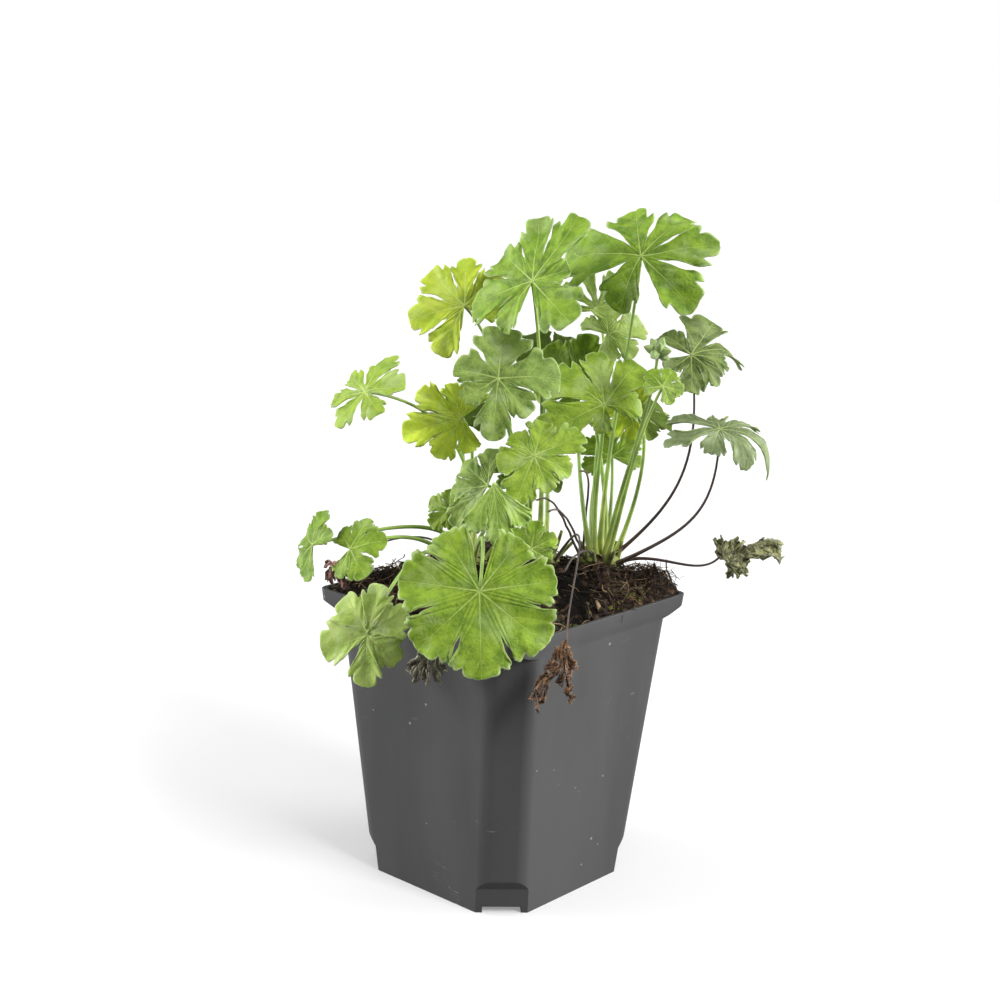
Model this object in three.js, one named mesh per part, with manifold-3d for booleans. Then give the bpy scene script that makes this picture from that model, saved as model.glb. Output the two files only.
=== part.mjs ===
// A young hardy geranium in a square plastic nursery pot.
// Millimetres, +Z up. The origin is the centre of the pot's base, on the ground, and the pot's sides
// lie along X and Y. The plant is drawn in its own frame, turned about Z, whose -Y side is its front.
//
// Every leaf is one solid: a palmate blade of 4 to 7 cut lobes on a long stalk. The stalks stand in
// plain holes in three crowns, and the crowns stand in plain holes in the root ball.

import * as THREE from "three";
import { mergeVertices } from "three/addons/utils/BufferGeometryUtils.js";
import Module from "manifold-3d";

const wasm = await Module();
wasm.setup();

// ---------------------------------------------------------------- driving dimensions

const POT_HEIGHT = 100;
const RIM_HALF = 45; // half the rim's width across the flats
const BODY_TOP_HALF = 43.6; // half the body's width just under the rim
const BODY_FOOT_HALF = 35.5; // half the body's width on the ground
const WALL = 1.2;
const RIM_BAND = 4.5; // height of the upright band at the top of the rim
const RIM_FLARE = 3; // height over which the wall flares out to the band
const RIM_LEAN = 0.4; // how far the band leans out over its height
const RIM_CORNER = 3; // length cut off the rim's corners
const RIM_ROUND = 0.6; // how far the middle of each such cut is pushed out again, to round it
const CORNER_CUT = 9.6; // length cut off the body's corners
const HEEL_CUT = 12.4; // the same below the stacking step
const HEEL_TOP = 9; // top of the heel, where the stacking step starts
const STEP_TOP = 12.5;
const NOTCH_HEIGHT = 2.2; // the corners of the base stand this high off the ground
const NOTCH_WIDTH = 13;
const NOTCH_DEPTH = 11;
const DRAIN_RADIUS = 2.8;
const DRAIN_SIDES = 10;
const DRAIN_OFFSET = 24; // of a drain hole from the middle, along X and along Y
const WELL_HALF = 22; // the floor is thin inside this square, and raised at the corners

const CLEARANCE = 0.3; // between any two pieces that touch on the real plant
const UP = new THREE.Vector3(0, 0, 1);
const PLANT_TURN = 41.5; // degrees about Z from the pot's frame to the plant's frame

const SOIL_EDGE = 99.4; // height of the peat where it meets the rim
const SOIL_MOUND = 8.6; // how far the middle of the root ball stands above that
const SOIL_LUMP = 1.1; // how far a lump of peat stands out

const BLADE = 0.6; // thickness of a leaf
const STALK = 0.8; // radius of a leaf's stalk
const STALK_SIDES = 5;

// ---------------------------------------------------------------- solids

const radians = THREE.MathUtils.degToRad;
const vec = (p) => new THREE.Vector3(...p);

function solidOf(geometry) {
  const bare = geometry.clone();
  bare.deleteAttribute("normal");
  bare.deleteAttribute("uv");
  const merged = mergeVertices(bare, 1e-4);
  return new wasm.Manifold(
    new wasm.Mesh({
      numProp: 3,
      vertProperties: merged.attributes.position.array,
      triVerts: new Uint32Array(merged.index.array),
    }),
  );
}

function geometryOf(solid) {
  const { numProp, numVert, vertProperties, triVerts } = solid.getMesh();
  const positions = new Float32Array(numVert * 3);
  for (let i = 0; i < numVert; i++)
    positions.set(vertProperties.subarray(i * numProp, i * numProp + 3), i * 3);
  const geometry = new THREE.BufferGeometry();
  geometry.setAttribute("position", new THREE.BufferAttribute(positions, 3));
  geometry.setIndex(new THREE.BufferAttribute(new Uint32Array(triVerts), 1));
  geometry.computeVertexNormals();
  return geometry;
}

function indexed(points, triangles) {
  const geometry = new THREE.BufferGeometry().setFromPoints(points);
  geometry.setIndex(triangles);
  return geometry;
}

// A closed skin over rings of points, lowest first, each ring running anticlockwise seen from above.
function skinOver(rings) {
  const count = rings[0].length;
  const middle = (ring) =>
    ring.reduce((sum, p) => sum.add(p), new THREE.Vector3()).divideScalar(count);
  const points = [...rings.flat(), middle(rings[0]), middle(rings.at(-1))];
  const floor = points.length - 2;
  const roof = points.length - 1;
  const top = (rings.length - 1) * count;
  const triangles = [];
  for (let i = 0; i < count; i++) {
    const next = (i + 1) % count;
    triangles.push(floor, next, i, roof, top + i, top + next);
    for (let r = 0; r < rings.length - 1; r++) {
      const a = r * count;
      const b = a + count;
      triangles.push(a + i, a + next, b + next, a + i, b + next, b + i);
    }
  }
  return indexed(points, triangles);
}

// A round bar of few sides along a curve.
function barAlong(curve, radius, sides, steps) {
  const section = new THREE.Shape();
  for (let i = 0; i < sides; i++) {
    const turn = (2 * Math.PI * i) / sides;
    const corner = [radius * Math.cos(turn), radius * Math.sin(turn)];
    if (i) section.lineTo(...corner);
    else section.moveTo(...corner);
  }
  return new THREE.ExtrudeGeometry(section, { steps, extrudePath: curve, curveSegments: 1 });
}

// Repeatable random numbers from -1 to 1.
function dice(seed) {
  let state = seed * 7919 + 17;
  return () => {
    state = (state * 48271) % 2147483647;
    return (2 * state) / 2147483647 - 1;
  };
}

// ---------------------------------------------------------------- pot

// One level of the pot: a square whose corners are cut, with the middle of each cut pushed out by round.
function potRing(height, half, cut, round = 0) {
  const ring = [];
  for (let corner = 0; corner < 4; corner++) {
    const along = half - cut;
    const mid = half - cut / 2 + round;
    const turn = (corner * Math.PI) / 2;
    for (const [x, y] of [[half, along], [mid, mid], [along, half]])
      ring.push(new THREE.Vector3(x, y, height).applyAxisAngle(UP, turn));
  }
  return ring;
}

const BAND_FOOT = POT_HEIGHT - RIM_BAND;
const FLARE_FOOT = BAND_FOOT - RIM_FLARE;

function bodyHalfAt(height) {
  return THREE.MathUtils.lerp(BODY_FOOT_HALF, BODY_TOP_HALF, height / FLARE_FOOT);
}

// The pot's outer levels, drawn in by inset all round.
function potLevels(inset, bottom, top) {
  const narrower = inset * (2 - Math.SQRT2);
  return [
    potRing(bottom, bodyHalfAt(bottom) - inset, HEEL_CUT - narrower),
    potRing(HEEL_TOP, bodyHalfAt(HEEL_TOP) - inset, HEEL_CUT - narrower),
    potRing(STEP_TOP, bodyHalfAt(STEP_TOP) - inset, CORNER_CUT - narrower),
    potRing(FLARE_FOOT, BODY_TOP_HALF - inset, CORNER_CUT - narrower),
    potRing(BAND_FOOT, RIM_HALF - RIM_LEAN - inset, RIM_CORNER, RIM_ROUND),
    potRing(top, RIM_HALF - inset, RIM_CORNER, RIM_ROUND),
  ];
}

// The floor rests on the ground all along the sides and in the middle. Only its four corners are raised,
// as drains, and have a round hole beside them.
function buildPot() {
  const raisedFloor = NOTCH_HEIGHT + WALL;
  let pot = solidOf(skinOver(potLevels(0, 0, POT_HEIGHT)));
  pot = pot.subtract(solidOf(skinOver(potLevels(WALL, raisedFloor, POT_HEIGHT + WALL))));
  const well = new THREE.BoxGeometry(2 * WELL_HALF, 2 * WELL_HALF, 2 * NOTCH_HEIGHT);
  pot = pot.subtract(solidOf(well.translate(0, 0, raisedFloor)));
  const cornerReach = (2 * BODY_FOOT_HALF - HEEL_CUT) / Math.SQRT2;
  const notchReach = cornerReach - NOTCH_DEPTH / 2 + WALL;
  const drainReach = DRAIN_OFFSET * Math.SQRT2;
  for (let corner = 0; corner < 4; corner++) {
    const turn = Math.PI / 4 + (corner * Math.PI) / 2;
    const notch = new THREE.BoxGeometry(NOTCH_DEPTH + 2 * WALL, NOTCH_WIDTH, 2 * NOTCH_HEIGHT);
    const drain = new THREE.CylinderGeometry(DRAIN_RADIUS, DRAIN_RADIUS, 4 * raisedFloor, DRAIN_SIDES);
    drain.rotateX(Math.PI / 2).translate(drainReach, 0, 0);
    for (const cut of [notch.translate(notchReach, 0, 0), drain])
      pot = pot.subtract(solidOf(cut.rotateZ(turn)));
  }
  return pot;
}

// ---------------------------------------------------------------- root ball

const SOIL_RINGS = [0.92, 0.78, 0.62, 0.46, 0.3, 0.15];
const SOIL_AROUND = 32;
const SOIL_SWELLS = [
  { at: [24, -30], height: -3.2, spread: 12.6 },
  { at: [40, 8], height: 1.6, spread: 15.5 },
  { at: [53, 3], height: 4.2, spread: 8 },
];

// Height of the peat at a place in the plant's frame, where share is 1 at the rim and 0 in the middle.
function soilHeight(x, y, share) {
  const mound = SOIL_EDGE + SOIL_MOUND * (1 - share ** 3);
  const swell = ({ at, height, spread }) =>
    height * Math.exp(-((x - at[0]) ** 2 + (y - at[1]) ** 2) / spread ** 2);
  return SOIL_SWELLS.reduce((sum, place) => sum + swell(place), mound);
}

// The pot's inner outline with evenly spread points, so that the peat's relief can follow it.
function soilOutline(level, count) {
  const corners = level.map((p) => new THREE.Vector2(p.x, p.y));
  const path = new THREE.Path([...corners, corners[0]]);
  return path.getSpacedPoints(count).slice(0, count).map((p) => new THREE.Vector3(p.x, p.y, level[0].z));
}

function buildSoil() {
  const random = dice(5);
  const bottom = NOTCH_HEIGHT + WALL + CLEARANCE;
  const levels = potLevels(WALL + CLEARANCE, bottom, SOIL_EDGE);
  const rings = levels.map((level) => soilOutline(level, SOIL_AROUND));
  const edge = rings.at(-1);
  const toPlant = radians(-PLANT_TURN);
  for (const share of SOIL_RINGS)
    rings.push(
      edge.map((p) => {
        const place = new THREE.Vector3(p.x * share, p.y * share, 0);
        const seen = place.clone().applyAxisAngle(UP, toPlant);
        place.z = soilHeight(seen.x, seen.y, share) + SOIL_LUMP * random();
        return place;
      }),
    );
  return solidOf(skinOver(rings));
}

// ---------------------------------------------------------------- crowns

// Each crown is a knob of old stalk bases. Stalks rise from numbered seats on it: 0 in the middle,
// 1 to 6 round it, and 7 to 16 round those, anticlockwise from the plant's right.
const CROWNS = {
  right: { at: [33, 12], radius: 7.4, top: 112 },
  middle: { at: [12, 12], radius: 7.2, top: 111.5 },
  left: { at: [-13, 6], radius: 7.2, top: 111.5 },
};
const CROWN_FOOT = 99;
const CROWN_SHOULDER = 108.5;
const CROWN_SIDES = 14;
const SOCKET_HEIGHT = 40; // enough to pass out of the peat
// The crown's profile from its foot up: share of its radius, and height or depth below its top.
const CROWN_BASE = [[0, CROWN_FOOT], [0.8, CROWN_FOOT], [1, CROWN_SHOULDER]];
const CROWN_DOME = [[0.9, 1.4], [0.5, 0.3], [0, 0]];
const SEAT_DEPTH = 3; // of a stalk's foot below the crown's top
const SEAT_SLOPE = 0.3; // how much deeper a seat lies for each millimetre from the crown's middle
const SEAT_RINGS = [
  { first: 7, count: 10, radius: 5.4, lean: 0.6 },
  { first: 1, count: 6, radius: 2.7, lean: 0.25 },
  { first: 0, count: 1, radius: 0, lean: 0 },
];

// A seat's place, and the way a stalk leaves it.
function seatOf({ crown: crownName, seat: number, lean }) {
  const crown = CROWNS[crownName];
  const ring = SEAT_RINGS.find((candidate) => number >= candidate.first);
  const turn = (2 * Math.PI * (number - ring.first)) / ring.count;
  const outward = new THREE.Vector3(Math.cos(turn), Math.sin(turn), 0);
  const place = new THREE.Vector3(...crown.at, crown.top - SEAT_DEPTH - ring.radius * SEAT_SLOPE);
  place.addScaledVector(outward, ring.radius);
  return { place, launch: outward.multiplyScalar(lean ?? ring.lean).add(UP).normalize() };
}

function buildCrown({ at, radius, top }) {
  const base = CROWN_BASE.map(([share, height]) => new THREE.Vector2(radius * share, height));
  const dome = CROWN_DOME.map(([share, depth]) => new THREE.Vector2(radius * share, top - depth));
  const knob = new THREE.LatheGeometry([...base, ...dome], CROWN_SIDES).rotateX(Math.PI / 2);
  return solidOf(knob.translate(at[0], at[1], 0));
}

// The plain round hole in the root ball that a crown stands in.
function crownSocket({ at, radius }) {
  const wide = (radius + CLEARANCE) / Math.cos(Math.PI / CROWN_SIDES);
  const hole = new THREE.CylinderGeometry(wide, wide, SOCKET_HEIGHT, CROWN_SIDES);
  hole.rotateX(Math.PI / 2).translate(at[0], at[1], CROWN_FOOT - CLEARANCE + SOCKET_HEIGHT / 2);
  return solidOf(hole.rotateZ(radians(PLANT_TURN)));
}

// The plain straight hole in a crown that a stalk's foot stands in.
const STALK_HOLE = { sides: 6, length: 16, ease: 0.4 };

function stalkSocket(curve, steps, radius) {
  const { sides, length, ease } = STALK_HOLE;
  const [foot, next] = curve.getSpacedPoints(steps);
  const along = next.clone().sub(foot).normalize();
  const wide = (radius + ease) / Math.cos(Math.PI / sides);
  const from = foot.clone().addScaledVector(along, -ease);
  const to = foot.clone().addScaledVector(along, length);
  return solidOf(barAlong(new THREE.LineCurve3(from, to), wide, sides, 1));
}

// ---------------------------------------------------------------- leaves

// A leaf's blade is worked out flat, in polar form round the end of its stalk, and then bent. Half a
// lobe's edge runs from the sinus between two lobes out to the lobe's tip. Each point gives how far
// across the lobe it lies, from 0 on the midrib to 1, and how far out between the sinus and the tip.
const HALF_LOBE = [
  [0.86, 0.36],
  [0.95, 0.74],
  [0.6, 0.78],
  [0.44, 0.97],
];
const MIDRIB = 0.5; // place of the point between a midrib's ends, as a share of the lobe's length
const SLIT = 0.8; // how far in the cut between two lobes starts, as a share of the undivided middle
const RIPPLES = 5; // radians of a ripple across half a lobe
const LOBE_VARIATION = 0.05; // of a lobe's length
const SECTOR_VARIATION = 0.16; // of the sector that a lobe has of the whole leaf
const SECTOR_SEEDS = 200; // added to a leaf's number, to draw its sectors apart from its lengths
const BEND_STEPS = 6;
const SIGHT_DIP = radians(13); // the front view in which a leaf's tip direction is given looks down by this

// What a leaf has when its entry below doesn't say otherwise. Lengths are in millimetres; bends are in
// degrees from the stalk's end to the lobes' tips.
const USUAL_LEAF = {
  length: 18, // of the middle lobe
  lobes: 7, // where headings don't give them
  spacing: 48, // degrees from one lobe's midrib to the next
  headings: [], // of each lobe, from the left: degrees from the leaf's middle, where the spacing isn't even
  sinus: 0.4, // length of the undivided middle, as a share of the length
  width: 1, // how much of its sector a lobe fills
  droop: 20, // how far the whole blade bends down
  saddle: 0, // how far the side lobes bend down more than the middle one
  curl: 14, // the most by which one lobe bends more or less than the next
  fold: 0.16, // how steeply each lobe's halves rise from its midrib
  wave: 0.03, // height of the ripples near the edge, as a share of the length
  bends: [], // of each lobe, from the left, where its bend isn't left to chance
  reaches: [], // of each lobe, from the left, as a share of the length, where the taper doesn't give it
  taper: 0.2, // how much shorter the outermost lobes are, as a share of the length
  rise: 0.4, // how far the stalk keeps its first direction, as a share of its span
  approach: 0.3, // how far it keeps its last direction
};

// Each leaf's crown and seat, the place of its stalk's end, the way its upper face looks (degrees to
// the plant's right of its front, and degrees above level), and the way its middle lobe points, seen
// from the front, in degrees anticlockwise from the plant's right. Where it matters, lean is how much
// its stalk leaves the crown sideways, and arrive the way back along its stalk from the blade.
const LEAVES = {
  leaf_top_right: { crown: "right", seat: 0, at: [42, 6, 215], face: [-18, 44], tip: 96, length: 28,
    headings: [-148, -68, 0, 40, 86, 146], sinus: 0.2, droop: 22, bends: [40, 10, 0, 20, -5, 8],
    reaches: [0.78, 1.06, 0.84, 1.05, 0.94, 0.92], arrive: [-0.03, 0.3, -1] },
  leaf_top_middle: { crown: "middle", seat: 0, at: [6, -8, 207], face: [-45, 38], tip: 62, length: 28,
    headings: [-168, -118, -68, -32, 4, 56, 115], sinus: 0.34, bends: [20, 5, -5, -22, -22, 0, 0],
    reaches: [0.7, 1, 0.92, 1.02, 1, 0.5, 0.92] },
  leaf_top_left: { crown: "middle", seat: 4, at: [-16.5, 15, 195.5], face: [-14, 28], tip: 140, length: 21.5,
    headings: [-104, -50, 5, 46, 90, 150], sinus: 0.3, reaches: [0.88, 0.97, 0.97, 0.93, 0.75, 0.65],
    colour: "yellow" },
  leaf_far_left: { crown: "left", seat: 2, at: [-47.5, -15, 170], face: [-50, 45], tip: 150, length: 16,
    headings: [-165, -84, -31, 9, 58, 145], sinus: 0.16, width: 0.9, reaches: [0.8, 0.9, 1, 0.95, 1.15, 0.95],
    arrive: [0.55, 0.85, -0.2], approach: 0.7, colour: "fresh" },
  leaf_left_yellow: { crown: "left", seat: 0, at: [-16, -2, 160], face: [14, 26], tip: 165, length: 19.5,
    headings: [-118, -73, -31, 17, 59, 105], reaches: [0.6, 0.83, 1.1, 0.93, 0.68, 0.7], colour: "yellow" },
  leaf_left_dark: { crown: "middle", seat: 5, at: [-4, -16, 176], face: [2, 34], tip: 70, length: 20.5,
    headings: [-142, -95, -16, 64, 120, 164], sinus: 0.24, bends: [0, 5, -10, 5, 10, 0],
    reaches: [0.7, 0.78, 0.97, 1, 0.75, 1.05], arrive: [0.15, 0.35, -1], colour: "grey" },
  leaf_centre: { crown: "right", seat: 5, at: [31.5, -5, 166.5], face: [4, 36], tip: 97, length: 21,
    headings: [-168, -110, -46, 0, 38, 99], sinus: 0.32, bends: [20, 5, 0, -5, 5, 25],
    reaches: [0.5, 1.12, 1.07, 0.98, 1.08, 0.65] },
  leaf_centre_back: { crown: "right", seat: 4, at: [24, 26, 168], face: [0, 20], tip: 90, length: 18,
    headings: [-160, -100, -36, 8, 60], bends: [0, 0, -15, -22, 0], reaches: [1, 0.9, 1, 1.02, 0.65],
    colour: "fresh" },
  leaf_pale: { crown: "right", seat: 2, at: [33, 18, 187], face: [12, 44], tip: 45, length: 15,
    headings: [-100, -45, 22, 85, 140], reaches: [0.7, 0.95, 1, 0.8, 0.7], colour: "grey" },
  leaf_folded_young: { crown: "right", seat: 3, at: [30, 39, 193], face: [-10, 30], tip: 108, length: 15,
    lobes: 5, spacing: 36, sinus: 0.25, width: 0.7, droop: -30, colour: "pale" },
  leaf_right_dark: { crown: "right", seat: 1, at: [60.5, 6, 182.5], face: [16, 58], tip: 34, length: 24,
    headings: [-82, -20, 14, 50, 95, 138, 182], spacing: 54, sinus: 0.3, droop: 24,
    bends: [0, -12, 32, 20, 30, 20, 0], reaches: [0.58, 1.18, 1.12, 0.6, 0.6, 0.7, 0.5], lean: 1.1,
    arrive: [0.16, 0, -1], approach: 0.5, colour: "dark" },
  leaf_right_drooping: { crown: "right", seat: 16, at: [69.5, -10, 160.5], face: [4, 76], tip: -5,
    length: 24, sinus: 0.3, width: 0.85, droop: 25, bends: [0, 0, 20, 75, 60, 30, -5],
    reaches: [0.9, 0.5, 0.7, 1.2, 0.85, 0.6, 0.8], lean: 1.6, arrive: [0.05, 0.1, -1], rise: 0.5,
    approach: 0.5, colour: "dark" },
  leaf_right_small: { crown: "right", seat: 15, at: [49, -22, 176], face: [10, 40], tip: 60, length: 8,
    lobes: 5, spacing: 58 },
  leaf_bright_low: { crown: "right", seat: 8, at: [42.5, 16.5, 160.5], face: [0, 26], tip: 170, length: 12.5,
    lobes: 5, spacing: 58, wave: 0.06, colour: "yellow" },
  leaf_low_middle: { crown: "right", seat: 9, at: [37, 34, 141], face: [0, 44], tip: 100, length: 14,
    lobes: 5, spacing: 58 },
  leaf_middle_round: { crown: "middle", seat: 14, at: [8.5, -20, 151.5], face: [4, 40], tip: 92, length: 17,
    headings: [-159, -103, -40, 15, 60, 110, 158], sinus: 0.46, bends: [5, 5, 0, 0, -28, 10, 10],
    reaches: [1, 0.72, 0.66, 0.85, 1.08, 0.77, 0.8], colour: "yellow" },
  leaf_folded_left: { crown: "left", seat: 6, at: [-6.5, -13, 139.5], face: [-32, 30], tip: 170, length: 19,
    headings: [-53, -15, 25, 68], sinus: 0.45, saddle: 20, reaches: [1.15, 0.8, 0.85, 0.85], colour: "grey" },
  leaf_hanging: { crown: "middle", seat: 13, at: [-4.5, -31, 144], face: [4, 16], tip: -92, length: 20,
    headings: [-48, -30, -12, 6, 26], spacing: 26, sinus: 0.6, droop: 12,
    reaches: [0.75, 0.95, 1.02, 0.98, 0.7], arrive: [0.2, 1, -0.2], colour: "grey" },
  leaf_low_back: { crown: "left", seat: 4, at: [-19.5, 3, 127], face: [-20, 26], tip: 165, length: 9,
    lobes: 5, spacing: 58, colour: "yellow" },
  leaf_front: { crown: "left", seat: 15, at: [-7.5, -60, 116.5], face: [0, 26], tip: -92, length: 26,
    sinus: 0.72, droop: 8, reaches: [0.8, 0.92, 1, 1.08, 1.02, 0.95, 0.82], rise: 0.5, approach: 0.4 },
  leaf_front_left: { crown: "left", seat: 13, at: [-43.5, -40, 95], face: [-14, 20], tip: 85, length: 16.5,
    headings: [-155, -100, -38, 4, 58, 140], sinus: 0.2, reaches: [1.02, 0.98, 1, 0.95, 0.85, 0.98],
    arrive: [0.3, 0.5, 0.8], rise: 0.4, approach: 0.35 },
  leaf_corner: { crown: "left", seat: 12, at: [-52, -12, 116], face: [-40, 34], tip: 20, length: 13,
    lobes: 5, spacing: 60, arrive: [0.8, 0.5, 0.3], colour: "fresh" },
  leaf_corner_outer: { crown: "left", seat: 10, at: [-65.5, -4, 115], face: [-60, 22], tip: 100, length: 15,
    headings: [-150, -91, -33, 28, 100], reaches: [0.9, 0.75, 0.88, 0.85, 0.65], arrive: [0.8, 0.5, 0.1],
    colour: "fresh" },
  leaf_ruffled: { crown: "middle", seat: 15, at: [8.5, -24, 121], face: [0, 24], tip: 90, length: 10,
    lobes: 5, spacing: 58, wave: 0.1, colour: "fresh" },
  leaf_back_high: { crown: "middle", seat: 2, at: [14, 48, 176], face: [170, 50], tip: 60, length: 19 },
  leaf_back_right: { crown: "right", seat: 10, at: [44, 48, 157], face: [150, 46], tip: 20, length: 18 },
  leaf_back_left: { crown: "left", seat: 3, at: [-20, 40, 152], face: [-165, 44], tip: 140, length: 18 },
  leaf_back_low: { crown: "middle", seat: 10, at: [8, 52, 130], face: [178, 40], tip: 95, length: 16,
    lobes: 5, spacing: 58 },
  withered_front: { crown: "middle", seat: 16, at: [20, -63, 103], face: [10, 10], tip: -99, length: 24,
    lobes: 5, spacing: 13, sinus: 0.2, width: 0.7, droop: 8, curl: 24, wave: 0.08,
    reaches: [0.45, 0.85, 0.6, 1, 0.7], rise: 0.55,
    approach: 0.25, colour: "brown" },
  withered_grey: { crown: "left", seat: 14, at: [-24, -53, 98], face: [-10, 14], tip: -85, length: 15,
    lobes: 5, spacing: 15, sinus: 0.3, width: 0.7, droop: 10, curl: 24, wave: 0.08, rise: 0.5,
    approach: 0.3, colour: "withered" },
  withered_right: { crown: "right", seat: 7, at: [73, -4, 115.5], face: [0, 50], tip: 8, length: 20,
    lobes: 5, spacing: 34, sinus: 0.3, width: 0.7, droop: 10, wave: 0.1,
    reaches: [0.4, 0.55, 1, 0.5, 0.4], lean: 2,
    arrive: [-0.6, 0, -0.8], colour: "withered" },
  withered_left: { crown: "left", seat: 11, at: [-56, -11, 110.5], face: [-30, 30], tip: -80, length: 8.5,
    lobes: 5, spacing: 50, sinus: 0.3, width: 0.7, droop: 40, wave: 0.08, arrive: [0.7, 0.5, 0.4],
    colour: "brown" },
};

// Dry stalks that have lost their blades: crown, seat, where each ends, and how far it keeps its first
// direction, as a share of its span.
const DRY_STALKS = {
  dry_stalk_arched: { crown: "right", seat: 12, end: [10, 4, 131], rise: 0.5 },
  dry_stalk_upright: { crown: "right", seat: 11, end: [25, 12, 140], rise: 0.3 },
  dry_stalk_crossing: { crown: "right", seat: 13, end: [14, -8, 130], rise: 0.3 },
  dry_stalk_low: { crown: "right", seat: 14, end: [20, -14, 111], rise: 0.6 },
};
const DRY_STALK = 0.6; // radius
const DRY_STALK_APPROACH = 0.3; // how far each keeps its last direction

// The cluster of flower buds: buds round the end of one stalk.
const BUD_CLUSTER = { crown: "right", seat: 6, at: [47.5, -14, 186], rise: 0.4, approach: 0.2 };
const BUD_RADIUS = 2;
const BUD_SPREAD = 1.6; // of each bud's centre from the cluster's
const BUD_TURN = radians(137.5); // from one bud to the next
const BUDS = 8;
const BUD_SPHERE = 0.85; // how round the cluster is: 1 leaves its top and bottom buds on its axis

function leafFrame(leaf) {
  const [right, above] = leaf.face.map(radians);
  const face = new THREE.Vector3(
    Math.sin(right) * Math.cos(above),
    -Math.cos(right) * Math.cos(above),
    Math.sin(above),
  );
  const sight = new THREE.Vector3(0, Math.cos(SIGHT_DIP), -Math.sin(SIGHT_DIP));
  const seen = new THREE.Vector3(Math.cos(radians(leaf.tip)), 0, Math.sin(radians(leaf.tip)));
  const tip = seen.addScaledVector(sight, -seen.dot(face) / sight.dot(face)).normalize();
  return { face, tip, across: tip.clone().cross(face) };
}

// Where each lobe points, and how wide its left and right halves are, in radians from the leaf's middle
// and from the midrib.
function sectorsOf(leaf, random) {
  const usual = radians(leaf.spacing);
  if (leaf.headings.length === 0) {
    const sectors = Array.from({ length: leaf.lobes }, () => usual * (1 + SECTOR_VARIATION * random()));
    let edge = -sectors.reduce((sum, sector) => sum + sector, 0) / 2;
    return sectors.map((sector) => {
      edge += sector;
      return { heading: edge - sector / 2, halves: [sector / 2, sector / 2] };
    });
  }
  return leaf.headings.map(radians).map((heading, i, all) => {
    const toNext = (next) => (next === undefined ? usual : Math.abs(next - heading)) / 2;
    return { heading, halves: [toNext(all[i - 1]), toNext(all[i + 1])] };
  });
}

// The lobes of a leaf from its left to its right: their sectors, their lengths, and how far they bend
// down beyond their sinuses.
function lobesOf(leaf, random, sectorRandom) {
  const sectors = sectorsOf(leaf, sectorRandom);
  const outermost = (sectors.length - 1) / 2;
  return sectors.map((sector, i) => {
    const offset = i - outermost;
    const usualReach = 1 - leaf.taper * (offset / outermost) ** 2;
    const variation = 1 + LOBE_VARIATION * random();
    const usualBend = leaf.curl * random();
    return {
      ...sector,
      length: leaf.length * variation * (leaf.reaches[i] ?? usualReach),
      bend: radians(leaf.bends[i] ?? usualBend),
      phase: Math.PI * random(),
    };
  });
}

// A point of a blade's middle surface: the stalk's end is the origin, the middle lobe runs along +Y and
// the upper face looks along +Z. Across a lobe, side runs from -1 to 1.
function bladePoint(leaf, lobe, side, radius) {
  const { clamp } = THREE.MathUtils;
  const half = lobe.halves[side < 0 ? 0 : 1];
  const heading = lobe.heading + side * half;
  const sinus = leaf.sinus * leaf.length;
  const bow = radians(leaf.droop) + radians(leaf.saddle) * Math.sin(heading) ** 2;
  const free = (r) => clamp((r - sinus) / (lobe.length - sinus), 0, 1);
  let out = 0;
  let drop = 0;
  for (let step = 0; step < BEND_STEPS; step++) {
    const r = (radius * (step + 0.5)) / BEND_STEPS;
    const dip = (bow * r) / leaf.length + lobe.bend * free(r);
    out += (radius / BEND_STEPS) * Math.cos(dip);
    drop += (radius / BEND_STEPS) * Math.sin(dip);
  }
  const crease = leaf.fold * Math.abs(side) * half * radius;
  const ripple = leaf.wave * leaf.length * free(radius) * Math.sin(RIPPLES * side + lobe.phase);
  return new THREE.Vector3(out * Math.sin(heading), out * Math.cos(heading), crease + ripple - drop);
}

// The blade's middle surface, in triangles, with its outline.
function bladeSurface(leaf, number) {
  const lobes = lobesOf(leaf, dice(number), dice(number + SECTOR_SEEDS));
  const points = [new THREE.Vector3()];
  const triangles = [];
  const outline = [0];
  const add = (point) => points.push(point) - 1;
  const sinusReach = SLIT * leaf.sinus * leaf.length;
  const half = (lobe, side, sinus, middle, tip) => {
    const start = leaf.sinus * leaf.length;
    const edge = HALF_LOBE.map(([across, reach]) =>
      add(bladePoint(leaf, lobe, side * across * leaf.width, start + reach * (lobe.length - start))),
    );
    const fan = [0, sinus, ...edge, tip];
    for (let i = 0; i < fan.length - 1; i++)
      triangles.push(...(side < 0 ? [middle, fan[i], fan[i + 1]] : [middle, fan[i + 1], fan[i]]));
    return edge;
  };
  let left = add(bladePoint(leaf, lobes[0], -1, sinusReach));
  for (const lobe of lobes) {
    const middle = add(bladePoint(leaf, lobe, 0, MIDRIB * lobe.length));
    const tip = add(bladePoint(leaf, lobe, 0, lobe.length));
    const right = add(bladePoint(leaf, lobe, 1, sinusReach));
    const leftEdge = half(lobe, -1, left, middle, tip);
    const rightEdge = half(lobe, 1, right, middle, tip);
    outline.push(left, ...leftEdge, tip, ...rightEdge.reverse());
    left = right;
  }
  outline.push(left);
  return { points, triangles, outline };
}

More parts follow.
